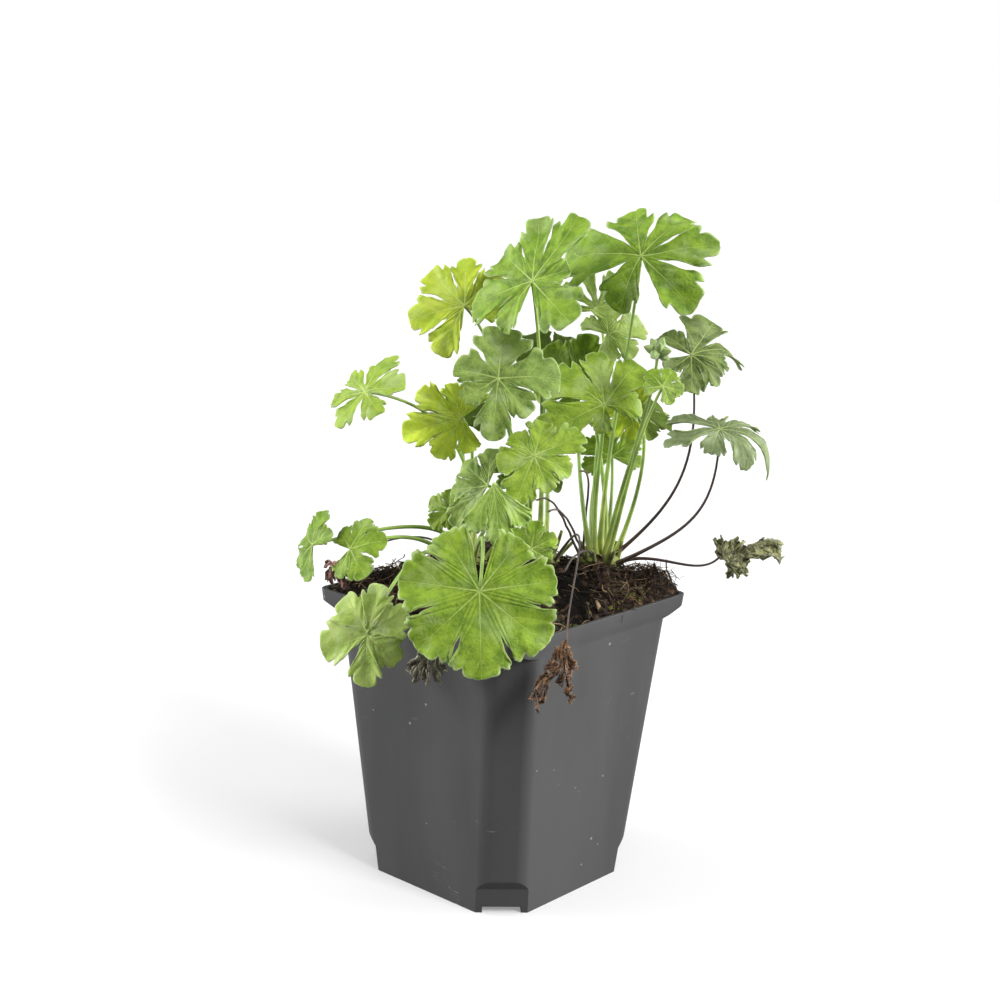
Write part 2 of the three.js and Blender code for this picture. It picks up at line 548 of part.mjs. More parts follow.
// The blade given its thickness, with the same triangles on both faces.
function bladeSolid(leaf, number) {
  const { points, triangles, outline } = bladeSurface(leaf, number);
  const surface = indexed(points, triangles);
  surface.computeVertexNormals();
  const normals = surface.attributes.normal;
  const count = points.length;
  const side = (sign) =>
    points.map((p, i) =>
      p.clone().addScaledVector(new THREE.Vector3().fromBufferAttribute(normals, i), (sign * BLADE) / 2),
    );
  const faces = [...triangles];
  for (let i = 0; i < triangles.length; i += 3)
    faces.push(triangles[i] + count, triangles[i + 2] + count, triangles[i + 1] + count);
  outline.forEach((a, i) => {
    const b = outline[(i + 1) % outline.length];
    faces.push(a, a + count, b, b, a + count, b + count);
  });
  return indexed([...side(1), ...side(-1)], faces);
}

function stalkCurve(foot, launch, end, arrival, leaf) {
  const span = foot.distanceTo(end);
  return new THREE.CubicBezierCurve3(
    foot,
    foot.clone().addScaledVector(launch, leaf.rise * span),
    end.clone().addScaledVector(arrival, leaf.approach * span),
    end,
  );
}

const STALK_STEPS = 6;
const STALK_UNDER = 0.8; // a stalk usually comes to its blade this much from underneath
const STALK_BEHIND = 0.6; // and this much from behind the middle lobe

function buildLeaf(leaf, number) {
  const { face, tip, across } = leafFrame(leaf);
  const end = vec(leaf.at);
  const { place, launch } = seatOf(leaf);
  const usual = face.clone().multiplyScalar(-STALK_UNDER).addScaledVector(tip, -STALK_BEHIND);
  const arrival = leaf.arrive ? vec(leaf.arrive).normalize() : usual;
  const curve = stalkCurve(place, launch, end, arrival, leaf);
  const blade = bladeSolid(leaf, number);
  blade.applyMatrix4(new THREE.Matrix4().makeBasis(across, tip, face).setPosition(end));
  const stalk = solidOf(barAlong(curve, STALK, STALK_SIDES, STALK_STEPS));
  return { solid: solidOf(blade).add(stalk), socket: stalkSocket(curve, STALK_STEPS, STALK) };
}

function buildDryStalk({ end, rise, ...seat }) {
  const { place, launch } = seatOf(seat);
  const arrival = place.clone().sub(vec(end)).normalize().add(UP).normalize();
  const curve = stalkCurve(place, launch, vec(end), arrival, { rise, approach: DRY_STALK_APPROACH });
  const solid = solidOf(barAlong(curve, DRY_STALK, STALK_SIDES, STALK_STEPS));
  return { solid, socket: stalkSocket(curve, STALK_STEPS, DRY_STALK) };
}

function buildBudCluster(cluster) {
  const { place, launch } = seatOf(cluster);
  const end = vec(cluster.at);
  const curve = stalkCurve(place, launch, end, UP.clone().negate(), cluster);
  let solid = solidOf(barAlong(curve, STALK, STALK_SIDES, STALK_STEPS));
  for (let i = 0; i < BUDS; i++) {
    const height = 1 - (2 * i) / (BUDS - 1);
    const width = Math.sqrt(1 - (BUD_SPHERE * height) ** 2);
    const out = new THREE.Vector3(width * Math.cos(i * BUD_TURN), width * Math.sin(i * BUD_TURN), height);
    const bud = new THREE.IcosahedronGeometry(BUD_RADIUS, 0).translate(...out.multiplyScalar(BUD_SPREAD));
    solid = solid.add(solidOf(bud.translate(...end)));
  }
  return { solid, socket: stalkSocket(curve, STALK_STEPS, STALK) };
}

// ---------------------------------------------------------------- materials

const finish = (colour, roughness) =>
  new THREE.MeshStandardMaterial({ color: colour, roughness, metalness: 0 });
const POT_PLASTIC = ["#4a4d50", 0.55];
const PEAT = ["#2e1f17", 0.95];
const CROWN_BARK = ["#5b4a2e", 0.9];
const LEAF_COLOURS = {
  green: ["#6fa03a", 0.6],
  fresh: ["#8cbf45", 0.6],
  yellow: ["#a5c63a", 0.6],
  grey: ["#6d9255", 0.65],
  pale: ["#a9bd8a", 0.65],
  dark: ["#56703f", 0.6],
  withered: ["#6b6a4a", 0.85],
  brown: ["#6a4226", 0.9],
};

// ---------------------------------------------------------------- the whole plant

const part = new THREE.Group();
const plant = new THREE.Group();
plant.rotation.z = radians(PLANT_TURN);
part.add(plant);

function place(parent, name, solid, [colour, roughness]) {
  const mesh = new THREE.Mesh(geometryOf(solid), finish(colour, roughness));
  mesh.name = name;
  parent.add(mesh);
}

place(part, "pot", buildPot(), POT_PLASTIC);
let rootBall = buildSoil();
for (const crown of Object.values(CROWNS)) rootBall = rootBall.subtract(crownSocket(crown));
place(part, "root_ball", rootBall, PEAT);

const crowns = Object.fromEntries(Object.entries(CROWNS).map(([name, crown]) => [name, buildCrown(crown)]));
Object.entries(LEAVES).forEach(([name, entry], i) => {
  const leaf = { ...USUAL_LEAF, ...entry };
  const { solid, socket } = buildLeaf(leaf, i + 1);
  crowns[leaf.crown] = crowns[leaf.crown].subtract(socket);
  place(plant, name, solid, LEAF_COLOURS[leaf.colour ?? "green"]);
});
for (const [name, stalk] of Object.entries(DRY_STALKS)) {
  const { solid, socket } = buildDryStalk(stalk);
  crowns[stalk.crown] = crowns[stalk.crown].subtract(socket);
  place(plant, name, solid, LEAF_COLOURS.brown);
}
const buds = buildBudCluster(BUD_CLUSTER);
crowns[BUD_CLUSTER.crown] = crowns[BUD_CLUSTER.crown].subtract(buds.socket);
place(plant, "bud_cluster", buds.solid, LEAF_COLOURS.fresh);
for (const [name, crown] of Object.entries(crowns)) place(plant, `crown_${name}`, crown, CROWN_BARK);

export default part;
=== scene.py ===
"""A young hardy geranium in a square nursery pot: its finished pieces, materials, light and camera.

Pieces are drawn in millimetres. The plant has a frame of its own, whose front is towards -Y, and is
turned about Z into the pot's frame. settle() does that, and brings each piece to metres.
"""

from dataclasses import dataclass
from math import atan2, cos, exp, hypot, pi, radians, sin
from types import SimpleNamespace

import bmesh
import bpy
from mathutils import Euler, Matrix, Vector, noise
from mathutils.geometry import interpolate_bezier


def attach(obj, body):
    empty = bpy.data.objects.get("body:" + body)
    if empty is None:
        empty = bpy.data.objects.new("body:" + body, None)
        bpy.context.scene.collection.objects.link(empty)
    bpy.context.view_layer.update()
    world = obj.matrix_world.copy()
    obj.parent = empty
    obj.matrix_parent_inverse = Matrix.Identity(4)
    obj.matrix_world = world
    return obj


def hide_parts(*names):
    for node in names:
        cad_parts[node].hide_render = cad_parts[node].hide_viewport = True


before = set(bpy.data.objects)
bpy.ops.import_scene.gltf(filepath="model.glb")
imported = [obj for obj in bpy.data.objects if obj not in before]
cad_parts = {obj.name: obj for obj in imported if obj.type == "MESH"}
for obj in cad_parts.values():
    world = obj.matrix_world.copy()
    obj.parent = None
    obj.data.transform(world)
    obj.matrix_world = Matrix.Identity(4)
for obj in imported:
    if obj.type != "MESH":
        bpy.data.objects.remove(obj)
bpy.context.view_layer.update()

# ---------------------------------------------------------------- frames and random numbers

MM = 0.001
UP = Vector((0, 0, 1))
PLANT_TURN = radians(41.5)
POT_FRAME = Matrix.Scale(MM, 4)
PLANT_FRAME = Matrix.Rotation(PLANT_TURN, 4, "Z") @ POT_FRAME
PLANT_AXES = PLANT_FRAME.to_3x3().normalized()

# Faces are numbered along this way, so that nearly all that is strewn on them falls the same each run.
ROLL_CALL = Vector((0.5257, 0.3141, 0.7907))
noise.seed_set(5)  # without it noise_vector changes from run to run


def dice(seed):
    """Repeatable random numbers from -1 to 1, the same as the solids are drawn with."""
    state = seed * 7919 + 17
    while True:
        state = state * 48271 % 2147483647
        yield 2 * state / 2147483647 - 1


def lerp(low, high, share):
    return low + (high - low) * share


def clamp(value, low=0, high=1):
    return min(max(value, low), high)


def ramp(value, start, width):
    """From 0 where the value is start to 1 a width further on."""
    return clamp((value - start) / width)


# ---------------------------------------------------------------- shaping tools


def sheet(bm, columns, rows):
    """Adds a grid of faces. Gives each of its points with its place on it, from 0 to 1 each way."""
    made = bmesh.ops.create_grid(bm, x_segments=columns, y_segments=rows, size=0.5)
    return [(vert, vert.co.x + 0.5, vert.co.y + 0.5) for vert in made["verts"]]


def outward_at(turn):
    return Vector((cos(turn), sin(turn), 0))


def spline(knots, share):
    """A point of a smooth curve through the knots."""
    place = share * (len(knots) - 1)
    i = min(int(place), len(knots) - 2)
    t = place - i
    before = knots[max(i - 1, 0)]
    after = knots[min(i + 2, len(knots) - 1)]
    a, b = knots[i], knots[i + 1]
    bend = (b - before) * t + (before * 2 - a * 5 + b * 4 - after) * t**2
    return a + (bend + (a * 3 - before - b * 3 + after) * t**3) / 2


def tube(bm, path, radius, sides):
    """Adds a round stalk with closed ends along a path; radius(share) is its radius there."""
    last = len(path) - 1
    ahead = [(path[min(i + 1, last)] - path[max(i - 1, 0)]).normalized() for i in range(last + 1)]
    aside = [ahead[0].orthogonal().normalized()]
    for way in ahead[1:]:
        aside.append((aside[-1] - way * aside[-1].dot(way)).normalized())
    points = sheet(bm, last + 2, sides)
    for vert, along, around in points:
        ring = round(along * (last + 2))
        i = int(clamp(ring - 1, 0, last))
        spoke = Matrix.Rotation(2 * pi * around, 3, ahead[i]) @ aside[i]
        vert.co = path[i] if ring in (0, last + 2) else path[i] + spoke * radius(i / last)
    return points


def thicken(bm, thickness):
    """Makes a closed shell of an open sheet, towards its underside. Gives its new points."""
    bm.normal_update()
    made = bmesh.ops.extrude_face_region(bm, geom=bm.faces[:], use_keep_orig=True)["geom"]
    under = [element for element in made if isinstance(element, bmesh.types.BMVert)]
    for vert in under:
        vert.co -= vert.normal * thickness
    return under


def merge(bm):
    bmesh.ops.remove_doubles(bm, verts=bm.verts, dist=0.01)


def weld(bm):
    """Merges points that meet, and turns closed shells' faces outwards."""
    merge(bm)
    bmesh.ops.recalc_face_normals(bm, faces=bm.faces)


def settle(bm, name, placement, *materials):
    """Makes the bmesh an object in the row's frame, in metres, that rides on the body."""
    bmesh.ops.transform(bm, matrix=placement, verts=bm.verts)
    bm.faces.sort(key=lambda face: face.calc_center_median().dot(ROLL_CALL))
    for face in bm.faces:
        face.smooth = True
    mesh = bpy.data.meshes.new(name)
    bm.to_mesh(mesh)
    bm.free()
    return present(name, mesh, *materials)


def present(name, mesh, *materials):
    """Makes the mesh an object of the scene, with these materials in its first slots."""
    piece = bpy.data.objects.new(name, mesh)
    show(piece)
    while len(mesh.materials) < len(materials):
        mesh.materials.append(None)
    for i, material in enumerate(materials):
        mesh.materials[i] = material
    return piece


def show(thing):
    bpy.context.scene.collection.objects.link(thing)


def finish_piece(piece, slot, *nodes):
    """Makes the piece ride on the root body, and hides the solids it stands for. Its slot is not used.
    """
    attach(piece, "root")
    if nodes:
        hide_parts(*nodes)


# ---------------------------------------------------------------- node tools


class Net:
    """Adds nodes to a tree. Each call gives an output of the new node."""

    def __init__(self, tree):
        self.tree = tree

    def node(self, kind, *values, out=0, **settings):
        """Sets the node's shown inputs, in order, to values or links them to other outputs."""
        made = self.tree.nodes.new(kind)
        for name, value in settings.items():
            setattr(made, name, value)
        shown = [socket for socket in made.inputs if socket.enabled]
        for socket, value in zip(shown, values):
            self.feed(socket, value)
        if isinstance(out, str):
            return made.outputs[out]
        return [socket for socket in made.outputs if socket.enabled][out]

    def feed(self, socket, value):
        if isinstance(value, bpy.types.NodeSocket):
            self.tree.links.new(value, socket)
        elif value is not None:
            socket.default_value = value

    def mix(self, share, *colours):
        """A share of the way from a colour to another, each an output or its red, green and blue."""
        ends = [end if isinstance(end, bpy.types.NodeSocket) else (*end, 1) for end in colours]
        return self.node("ShaderNodeMix", share, *ends, data_type="RGBA")

    def math(self, operation, *values):
        return self.node("ShaderNodeMath", *values, operation=operation)

    def times(self, value, factor):
        return self.math("MULTIPLY", value, factor)

    def plus(self, value, more):
        return self.math("ADD", value, more)

    def centred(self, share):
        """A share from 0 to 1 as -0.5 to 0.5."""
        return self.math("SUBTRACT", share, 0.5)

    def rise(self, value, low, high, bottom=0.0, top=1.0):
        """From bottom to top, smoothly, as the value goes from low to high."""
        ends = (low, high, bottom, top)
        return self.node("ShaderNodeMapRange", value, *ends, interpolation_type="SMOOTHSTEP")

    def noise(self, at, scale, detail=2.0, roughness=0.5):
        return self.node("ShaderNodeTexNoise", at, scale, detail, roughness)

    def stretched(self, at, *scale):
        """The place at, scaled by its own amount along each axis."""
        return self.node("ShaderNodeVectorMath", at, scale, operation="MULTIPLY")

    def cell_edges(self, at, scale):
        """How far a place is from the edge of its cell."""
        return self.node("ShaderNodeTexVoronoi", at, scale, feature="DISTANCE_TO_EDGE")

    def mark(self, name, out="Vector"):
        """What the mesh's points are marked with under this name."""
        return self.node("ShaderNodeAttribute", attribute_name=name, out=out)

    def place(self):
        """Where a point lies in its piece, in metres."""
        return self.node("ShaderNodeTexCoord", out="Object")


class Finish(Net):
    """A material's net. Constants are set on its shader's own sockets."""

    def __init__(self, name, **constants):
        self.material = bpy.data.materials.new(name)
        self.material.use_nodes = True
        super().__init__(self.material.node_tree)
        self.shader = self.tree.nodes["Principled BSDF"].inputs
        for label, value in constants.items():
            self.shader[label.replace("_", " ")].default_value = value

    def done(self, colour, height=None, strength=1.0, distance=0.0):
        """The material, with its colour and the relief of its surface. The distance is in metres."""
        self.feed(self.shader["Base Color"], colour)
        if height is not None:
            relief = self.node("ShaderNodeBump", strength, distance, None, height)
            self.feed(self.shader["Normal"], relief)
        return self.material


# ---------------------------------------------------------------- leaf finishes


def leaf_veins(net, rib_width, seed):
    """Veins of a blade, from the marks that grow_blade leaves on its points."""
    vein = net.node("ShaderNodeSeparateXYZ", net.mark("vein"))
    tooth, across, from_rib = vein.node.outputs
    flat = net.mark("flat")
    place = net.node("ShaderNodeVectorMath", flat, (seed, seed, 0), operation="ADD")

    wide = net.times(rib_width, net.rise(tooth, 0.0, 9.0, 1.0, 0.25))
    rib_distance = net.math("DIVIDE", from_rib, wide)
    rib = net.rise(rib_distance, 0.3, 1.0, 1.0, 0.0)
    sway = net.times(net.centred(net.noise(place, 0.4, 1.0)), 0.8)
    branch = net.times(net.plus(tooth, sway), VEIN_SPACING)
    off_side = net.math("ABSOLUTE", net.centred(net.math("FRACT", branch)))
    side = net.rise(off_side, 0.008, 0.035, 1.0, 0.0)
    side = net.times(side, net.rise(across, 0.1, 0.95, 0.6, 0.15))
    cells = net.cell_edges(place, 0.55)
    mesh = net.rise(cells, 0.0, 0.07, 0.2, 0.0)

    # Painted shade: the blade is darkened in the creases along its ribs and side veins, most towards
    # the lobes' base.
    by_rib = net.rise(rib_distance, 1.5, 5.0, 1.0, 0.0)
    by_side = net.times(net.rise(off_side, 0.05, 0.3, 0.6, 0.0), net.rise(across, 0.0, 0.8, 1.0, 0.0))
    fold_shade = net.times(net.math("MAXIMUM", by_rib, by_side), net.rise(tooth, 2.0, 7.0, 1.0, 0.1))
    quilt = net.rise(cells, 0.0, 0.45)
    grain = net.noise(place, 2.2, 4.0, 0.65)
    relief = net.plus(net.times(quilt, 0.5), net.times(grain, 0.5))
    return {
        "Veins": net.math("MAXIMUM", rib, net.math("MAXIMUM", side, mesh)),
        "Margin": net.rise(across, 0.90, 0.98),
        "Under": net.node("ShaderNodeSeparateXYZ", flat, out="Z"),
        "Fold_shade": net.times(fold_shade, net.rise(net.noise(place, 0.35, 2.0, 0.6), 0.38, 0.6)),
        # Painted sheen: pale grey patches laid at random, standing in for the sheen of the leaf's
        # hairs.
        "Painted_sheen": net.rise(net.noise(place, 0.085, 2.0, 0.55), 0.50, 0.64),
        "Mottle": net.noise(place, 0.16, 4.0, 0.62),
        "Relief": net.math("SUBTRACT", relief, net.times(net.math("MAXIMUM", rib, side), 0.5)),
    }


VEIN_SPACING = 0.45  # side veins to each knot of a lobe's edge
BLACK = (0, 0, 0)
PALE = (0.56, 0.68, 0.22)
GREYISH = (0.50, 0.58, 0.36)


def towards(colour, other, share):
    """A share of the way from a colour to another."""
    return tuple(lerp(a, b, share) for a, b in zip(colour, other))


def leaf_material(name, light, deep, sheen_paint=0.6, seed=0.0):
    """A soft, finely haired blade: light and deep are the colours it is mottled in."""
    net = Finish(
        name, Roughness=0.6, Specular_IOR_Level=0.2, Sheen_Weight=0.03, Sheen_Roughness=0.5,
        Subsurface_Weight=0.3, Subsurface_Scale=0.0007, Subsurface_Radius=(0.5, 1.0, 0.15),
    )
    marks = leaf_veins(net, 0.4, seed)
    colour = net.mix(net.rise(marks["Mottle"], 0.36, 0.66), light, deep)
    for mark, strength, tint in (
        # painted sheen in grey patches
        ("Painted_sheen", sheen_paint, towards(light, GREYISH, 0.45)),
        # painted shade in the creases along the veins
        ("Fold_shade", 0.55, towards(deep, BLACK, 0.35)),
        ("Veins", 0.75, towards(light, PALE, 0.6)),
        ("Margin", 0.7, towards(light, GREYISH, 0.6)),
        ("Under", 0.75, towards(deep, PALE, 0.3)),
    ):
        colour = net.mix(net.times(marks[mark], strength), colour, tint)
    return net.done(colour, marks["Relief"], 0.8, 0.0003)


def stalk_material(name, foot, middle, top):
    """A stalk whose colour changes from its foot to its top, with faint ridges along it."""
    net = Finish(name, Roughness=0.5, Sheen_Weight=0.2, Subsurface_Weight=0.1, Subsurface_Scale=0.0008)
    along = net.node("ShaderNodeSeparateXYZ", net.mark("vein"))
    streaks = net.noise(net.stretched(net.mark("flat"), 2.4, 0.12, 1), 1.0, 3.0, 0.6)
    drift = net.plus(along, net.times(net.centred(streaks), 0.25))
    patches = net.noise(net.place(), 75.0)
    colour = net.mix(net.rise(drift, 0.02, 0.3), foot, middle)
    colour = net.mix(net.rise(drift, 0.55, 1.0), colour, top)
    colour = net.mix(net.rise(patches, 0.42, 0.62, 0.0, 0.7), colour, towards(middle, BLACK, 0.5))
    return net.done(colour, streaks, 0.5, 0.0002)


def withered_material(name, light, deep, spot):
    """A dry, crumpled blade."""
    net = Finish(name, Roughness=0.8, Sheen_Weight=0.25)
    marks = leaf_veins(net, 0.5, 3)
    flat = net.mark("flat")
    colour = net.mix(net.rise(net.noise(flat, 0.45, 4.0, 0.7), 0.35, 0.62), deep, light)
    colour = net.mix(net.rise(net.noise(flat, 1.3, 3.0, 0.6), 0.5, 0.62), colour, spot)
    frayed = net.rise(net.cell_edges(flat, 2.6), 0.0, 0.12, 0.75, 0.0)
    colour = net.mix(frayed, colour, towards(deep, BLACK, 0.4))
    colour = net.mix(net.times(marks["Veins"], 0.4), colour, light)
    wrinkles = net.plus(marks["Relief"], net.noise(flat, 1.6, 4.0, 0.7))
    return net.done(colour, wrinkles, 0.9, 0.0006)


def finishes(make, kind, looks):
    """A material of this kind for each look, by the look's name."""
    return {name: make(f"{kind} {name}", *look) for name, look in looks.items()}


# Light and deep colours, the strength of the painted sheen, and the seed that shifts the patches.
FRESH_LOOKS = {
    "green": ((0.24, 0.365, 0.026), (0.12, 0.215, 0.011), 0.35),
    "fresh": ((0.3, 0.43, 0.04), (0.165, 0.275, 0.02), 0.6, 9.0),
    "yellow": ((0.45, 0.54, 0.035), (0.28, 0.4, 0.018), 0.3, 21.0),
    "gold": ((0.56, 0.68, 0.05), (0.38, 0.5, 0.025), 0.4, 27.0),
    "bright": ((0.64, 0.76, 0.07), (0.46, 0.61, 0.035), 0.45, 29.0),
    "pale": ((0.46, 0.59, 0.16), (0.3, 0.44, 0.075), 0.8, 47.0),
    "soft": ((0.36, 0.51, 0.11), (0.22, 0.35, 0.05), 0.6, 55.0),
    "dark": ((0.165, 0.225, 0.055), (0.065, 0.105, 0.02), 0.25, 61.0),
    "olive": ((0.24, 0.345, 0.07), (0.11, 0.185, 0.028), 0.6, 73.0),
    "misty": ((0.205, 0.26, 0.12), (0.12, 0.165, 0.065), 0.6, 83.0),
    "deep": ((0.205, 0.335, 0.022), (0.095, 0.185, 0.01), 0.35, 91.0),
}
# Light and deep colours, and the colour of the spots.
WITHERED_LOOKS = {
    "withered": ((0.46, 0.46, 0.2), (0.075, 0.075, 0.035), (0.26, 0.3, 0.09)),
    "brown": ((0.32, 0.17, 0.07), (0.035, 0.016, 0.009), (0.22, 0.07, 0.018)),
    "red": ((0.46, 0.26, 0.19), (0.15, 0.04, 0.035), (0.28, 0.09, 0.07)),
    "faded": ((0.55, 0.56, 0.36), (0.22, 0.19, 0.15), (0.38, 0.27, 0.23)),
}
# Colours at the foot, the middle and the top.
STALK_LOOKS = {
    "green": ((0.56, 0.62, 0.15), (0.32, 0.5, 0.08), (0.38, 0.54, 0.12)),
    "dark": ((0.085, 0.035, 0.03), (0.065, 0.032, 0.032), (0.12, 0.09, 0.05)),
    "dry": ((0.08, 0.04, 0.025), (0.055, 0.03, 0.022), (0.11, 0.065, 0.04)),
}
BLADE_FINISHES = {
    **finishes(leaf_material, "leaf", FRESH_LOOKS),
    **finishes(withered_material, "leaf", WITHERED_LOOKS),
}
STALK_FINISHES = finishes(stalk_material, "stalk", STALK_LOOKS)

# ---------------------------------------------------------------- leaves

# Half a lobe's edge, from the sinus to the tip: how far across the lobe each point lies, from 0 on the
# midrib to 1, and how far out between the sinus and the tip.
HALF_LOBE = [
    (0.93, 0.12),
    (0.87, 0.34),
    (0.91, 0.56),
    (0.95, 0.74),
    (0.80, 0.86),
    (0.61, 0.765),
    (0.50, 0.94),
    (0.25, 1.01),
]
KNOTS = len(HALF_LOBE) + 1  # spans between the sinus, the points above and the tip
FIRST_TOOTH = 3  # the knot where the teeth start
MIDDLE_NOTCH = 6  # the knot between a lobe's side tooth and its middle one
SIDE_TOOTH = 1.5  # width of a tooth of the side part, in knots
MIDDLE_TOOTH = 2  # width of a tooth of the middle part, in knots
TOOTH_SHARPNESS = 0.7  # below 1, teeth are rounder and notches sharper
TEETH_FROM = 0.6  # teeth point away from here on the midrib, as a share of the lobe
SLIT = 0.8  # where a cut between lobes closes, as a share of the sinus
TAPER = 0.2  # how much shorter the outermost lobes are, as a share
FOLD = 0.16  # how steeply a lobe's halves rise off its midrib
RIPPLES = 5
LOBE_VARIATION = 0.05
SECTOR_VARIATION = 0.16
WIDTH_VARIATION = 0.05
REACH_VARIATION = 0.03
SECTOR_SEEDS = 200
EDGE_SEEDS = 100
BEND_STEPS = 6
SIGHT_DIP = radians(13)  # of the view that leaves' tips are aimed in
EDGE_STEPS = 54
ACROSS_STEPS = 6
BLADE = 0.34  # thickness
PLEAT = 0.006  # height of the folds between side veins, as a share of the length
RIB_END = 0.97  # where the midrib ends, as a share of the lobe
RIB_SPREAD = 1.5  # above 1, side veins leave the rib at a sharper angle
FRILL = 0.010  # height of the edge's frill, as a share of the length
RUMPLE = 0.055  # height of a blade's slow swells, as a share of the length
RUMPLE_WIDTH = 0.45  # width of such a swell, as a share of the length
CRUMPLES = [(0.16, 1), (0.5, 0.55), (1.3, 0.28)]  # of a withered blade: fineness and height
PATTERN_STEP = 50  # how far apart the blades lie in their finishes' patterns

STALK_UNDER = 0.8  # how far a stalk comes to its blade from under it
STALK_BEHIND = 0.6  # and from behind it
STALK_GIRTHS = {"green": 1, "dark": 0.75, "dry": 0.5}  # as shares of the usual
STALK_STEPS = 26
STALK_SIDES = 8


@dataclass
class Leaf:
    """How a leaf grows. Angles are in degrees, and heights are shares of the length."""

    crown: str
    seat: int  # its place in the crown
    at: tuple  # where the stalk meets the blade
    face: tuple  # how far the upper side looks to the right of the front, and above level
    tip: float  # where the middle lobe points, as seen from the front, anticlockwise from the right
    length: float  # of a lobe
    lobes: int = 7
    spacing: float = 48  # between lobes
    headings: tuple = ()  # of the lobes; none spaces them evenly
    reaches: tuple = ()  # the lobes' own lengths, as shares; none tapers them
    bends: tuple = ()  # how far each lobe bends down; none leaves it to chance, up to curl
    sinus: float = 0.4  # how far out the lobes part, as a share
    width: float = 1  # of a lobe, as a share of its room
    teeth: float = 0.014  # height
    droop: float = 20  # how far the blade bends down towards its edge
    saddle: float = 0  # how much further its sides do
    curl: float = 14
    wave: float = 0.03  # height of a lobe's ripples
    crumple: float = 0  # in millimetres
    lean: float = None  # how far the stalk leans out where it starts; None is the usual
    arrive: tuple = None  # the stalk's way down from the blade; None is from under and behind it
    rise: float = 0.4  # how far the stalk keeps its first way, as a share of its span
    approach: float = 0.3  # how far it keeps its last
    colour: str = "green"
    stalk: str = "green"
    slot: str = "leaf_green"


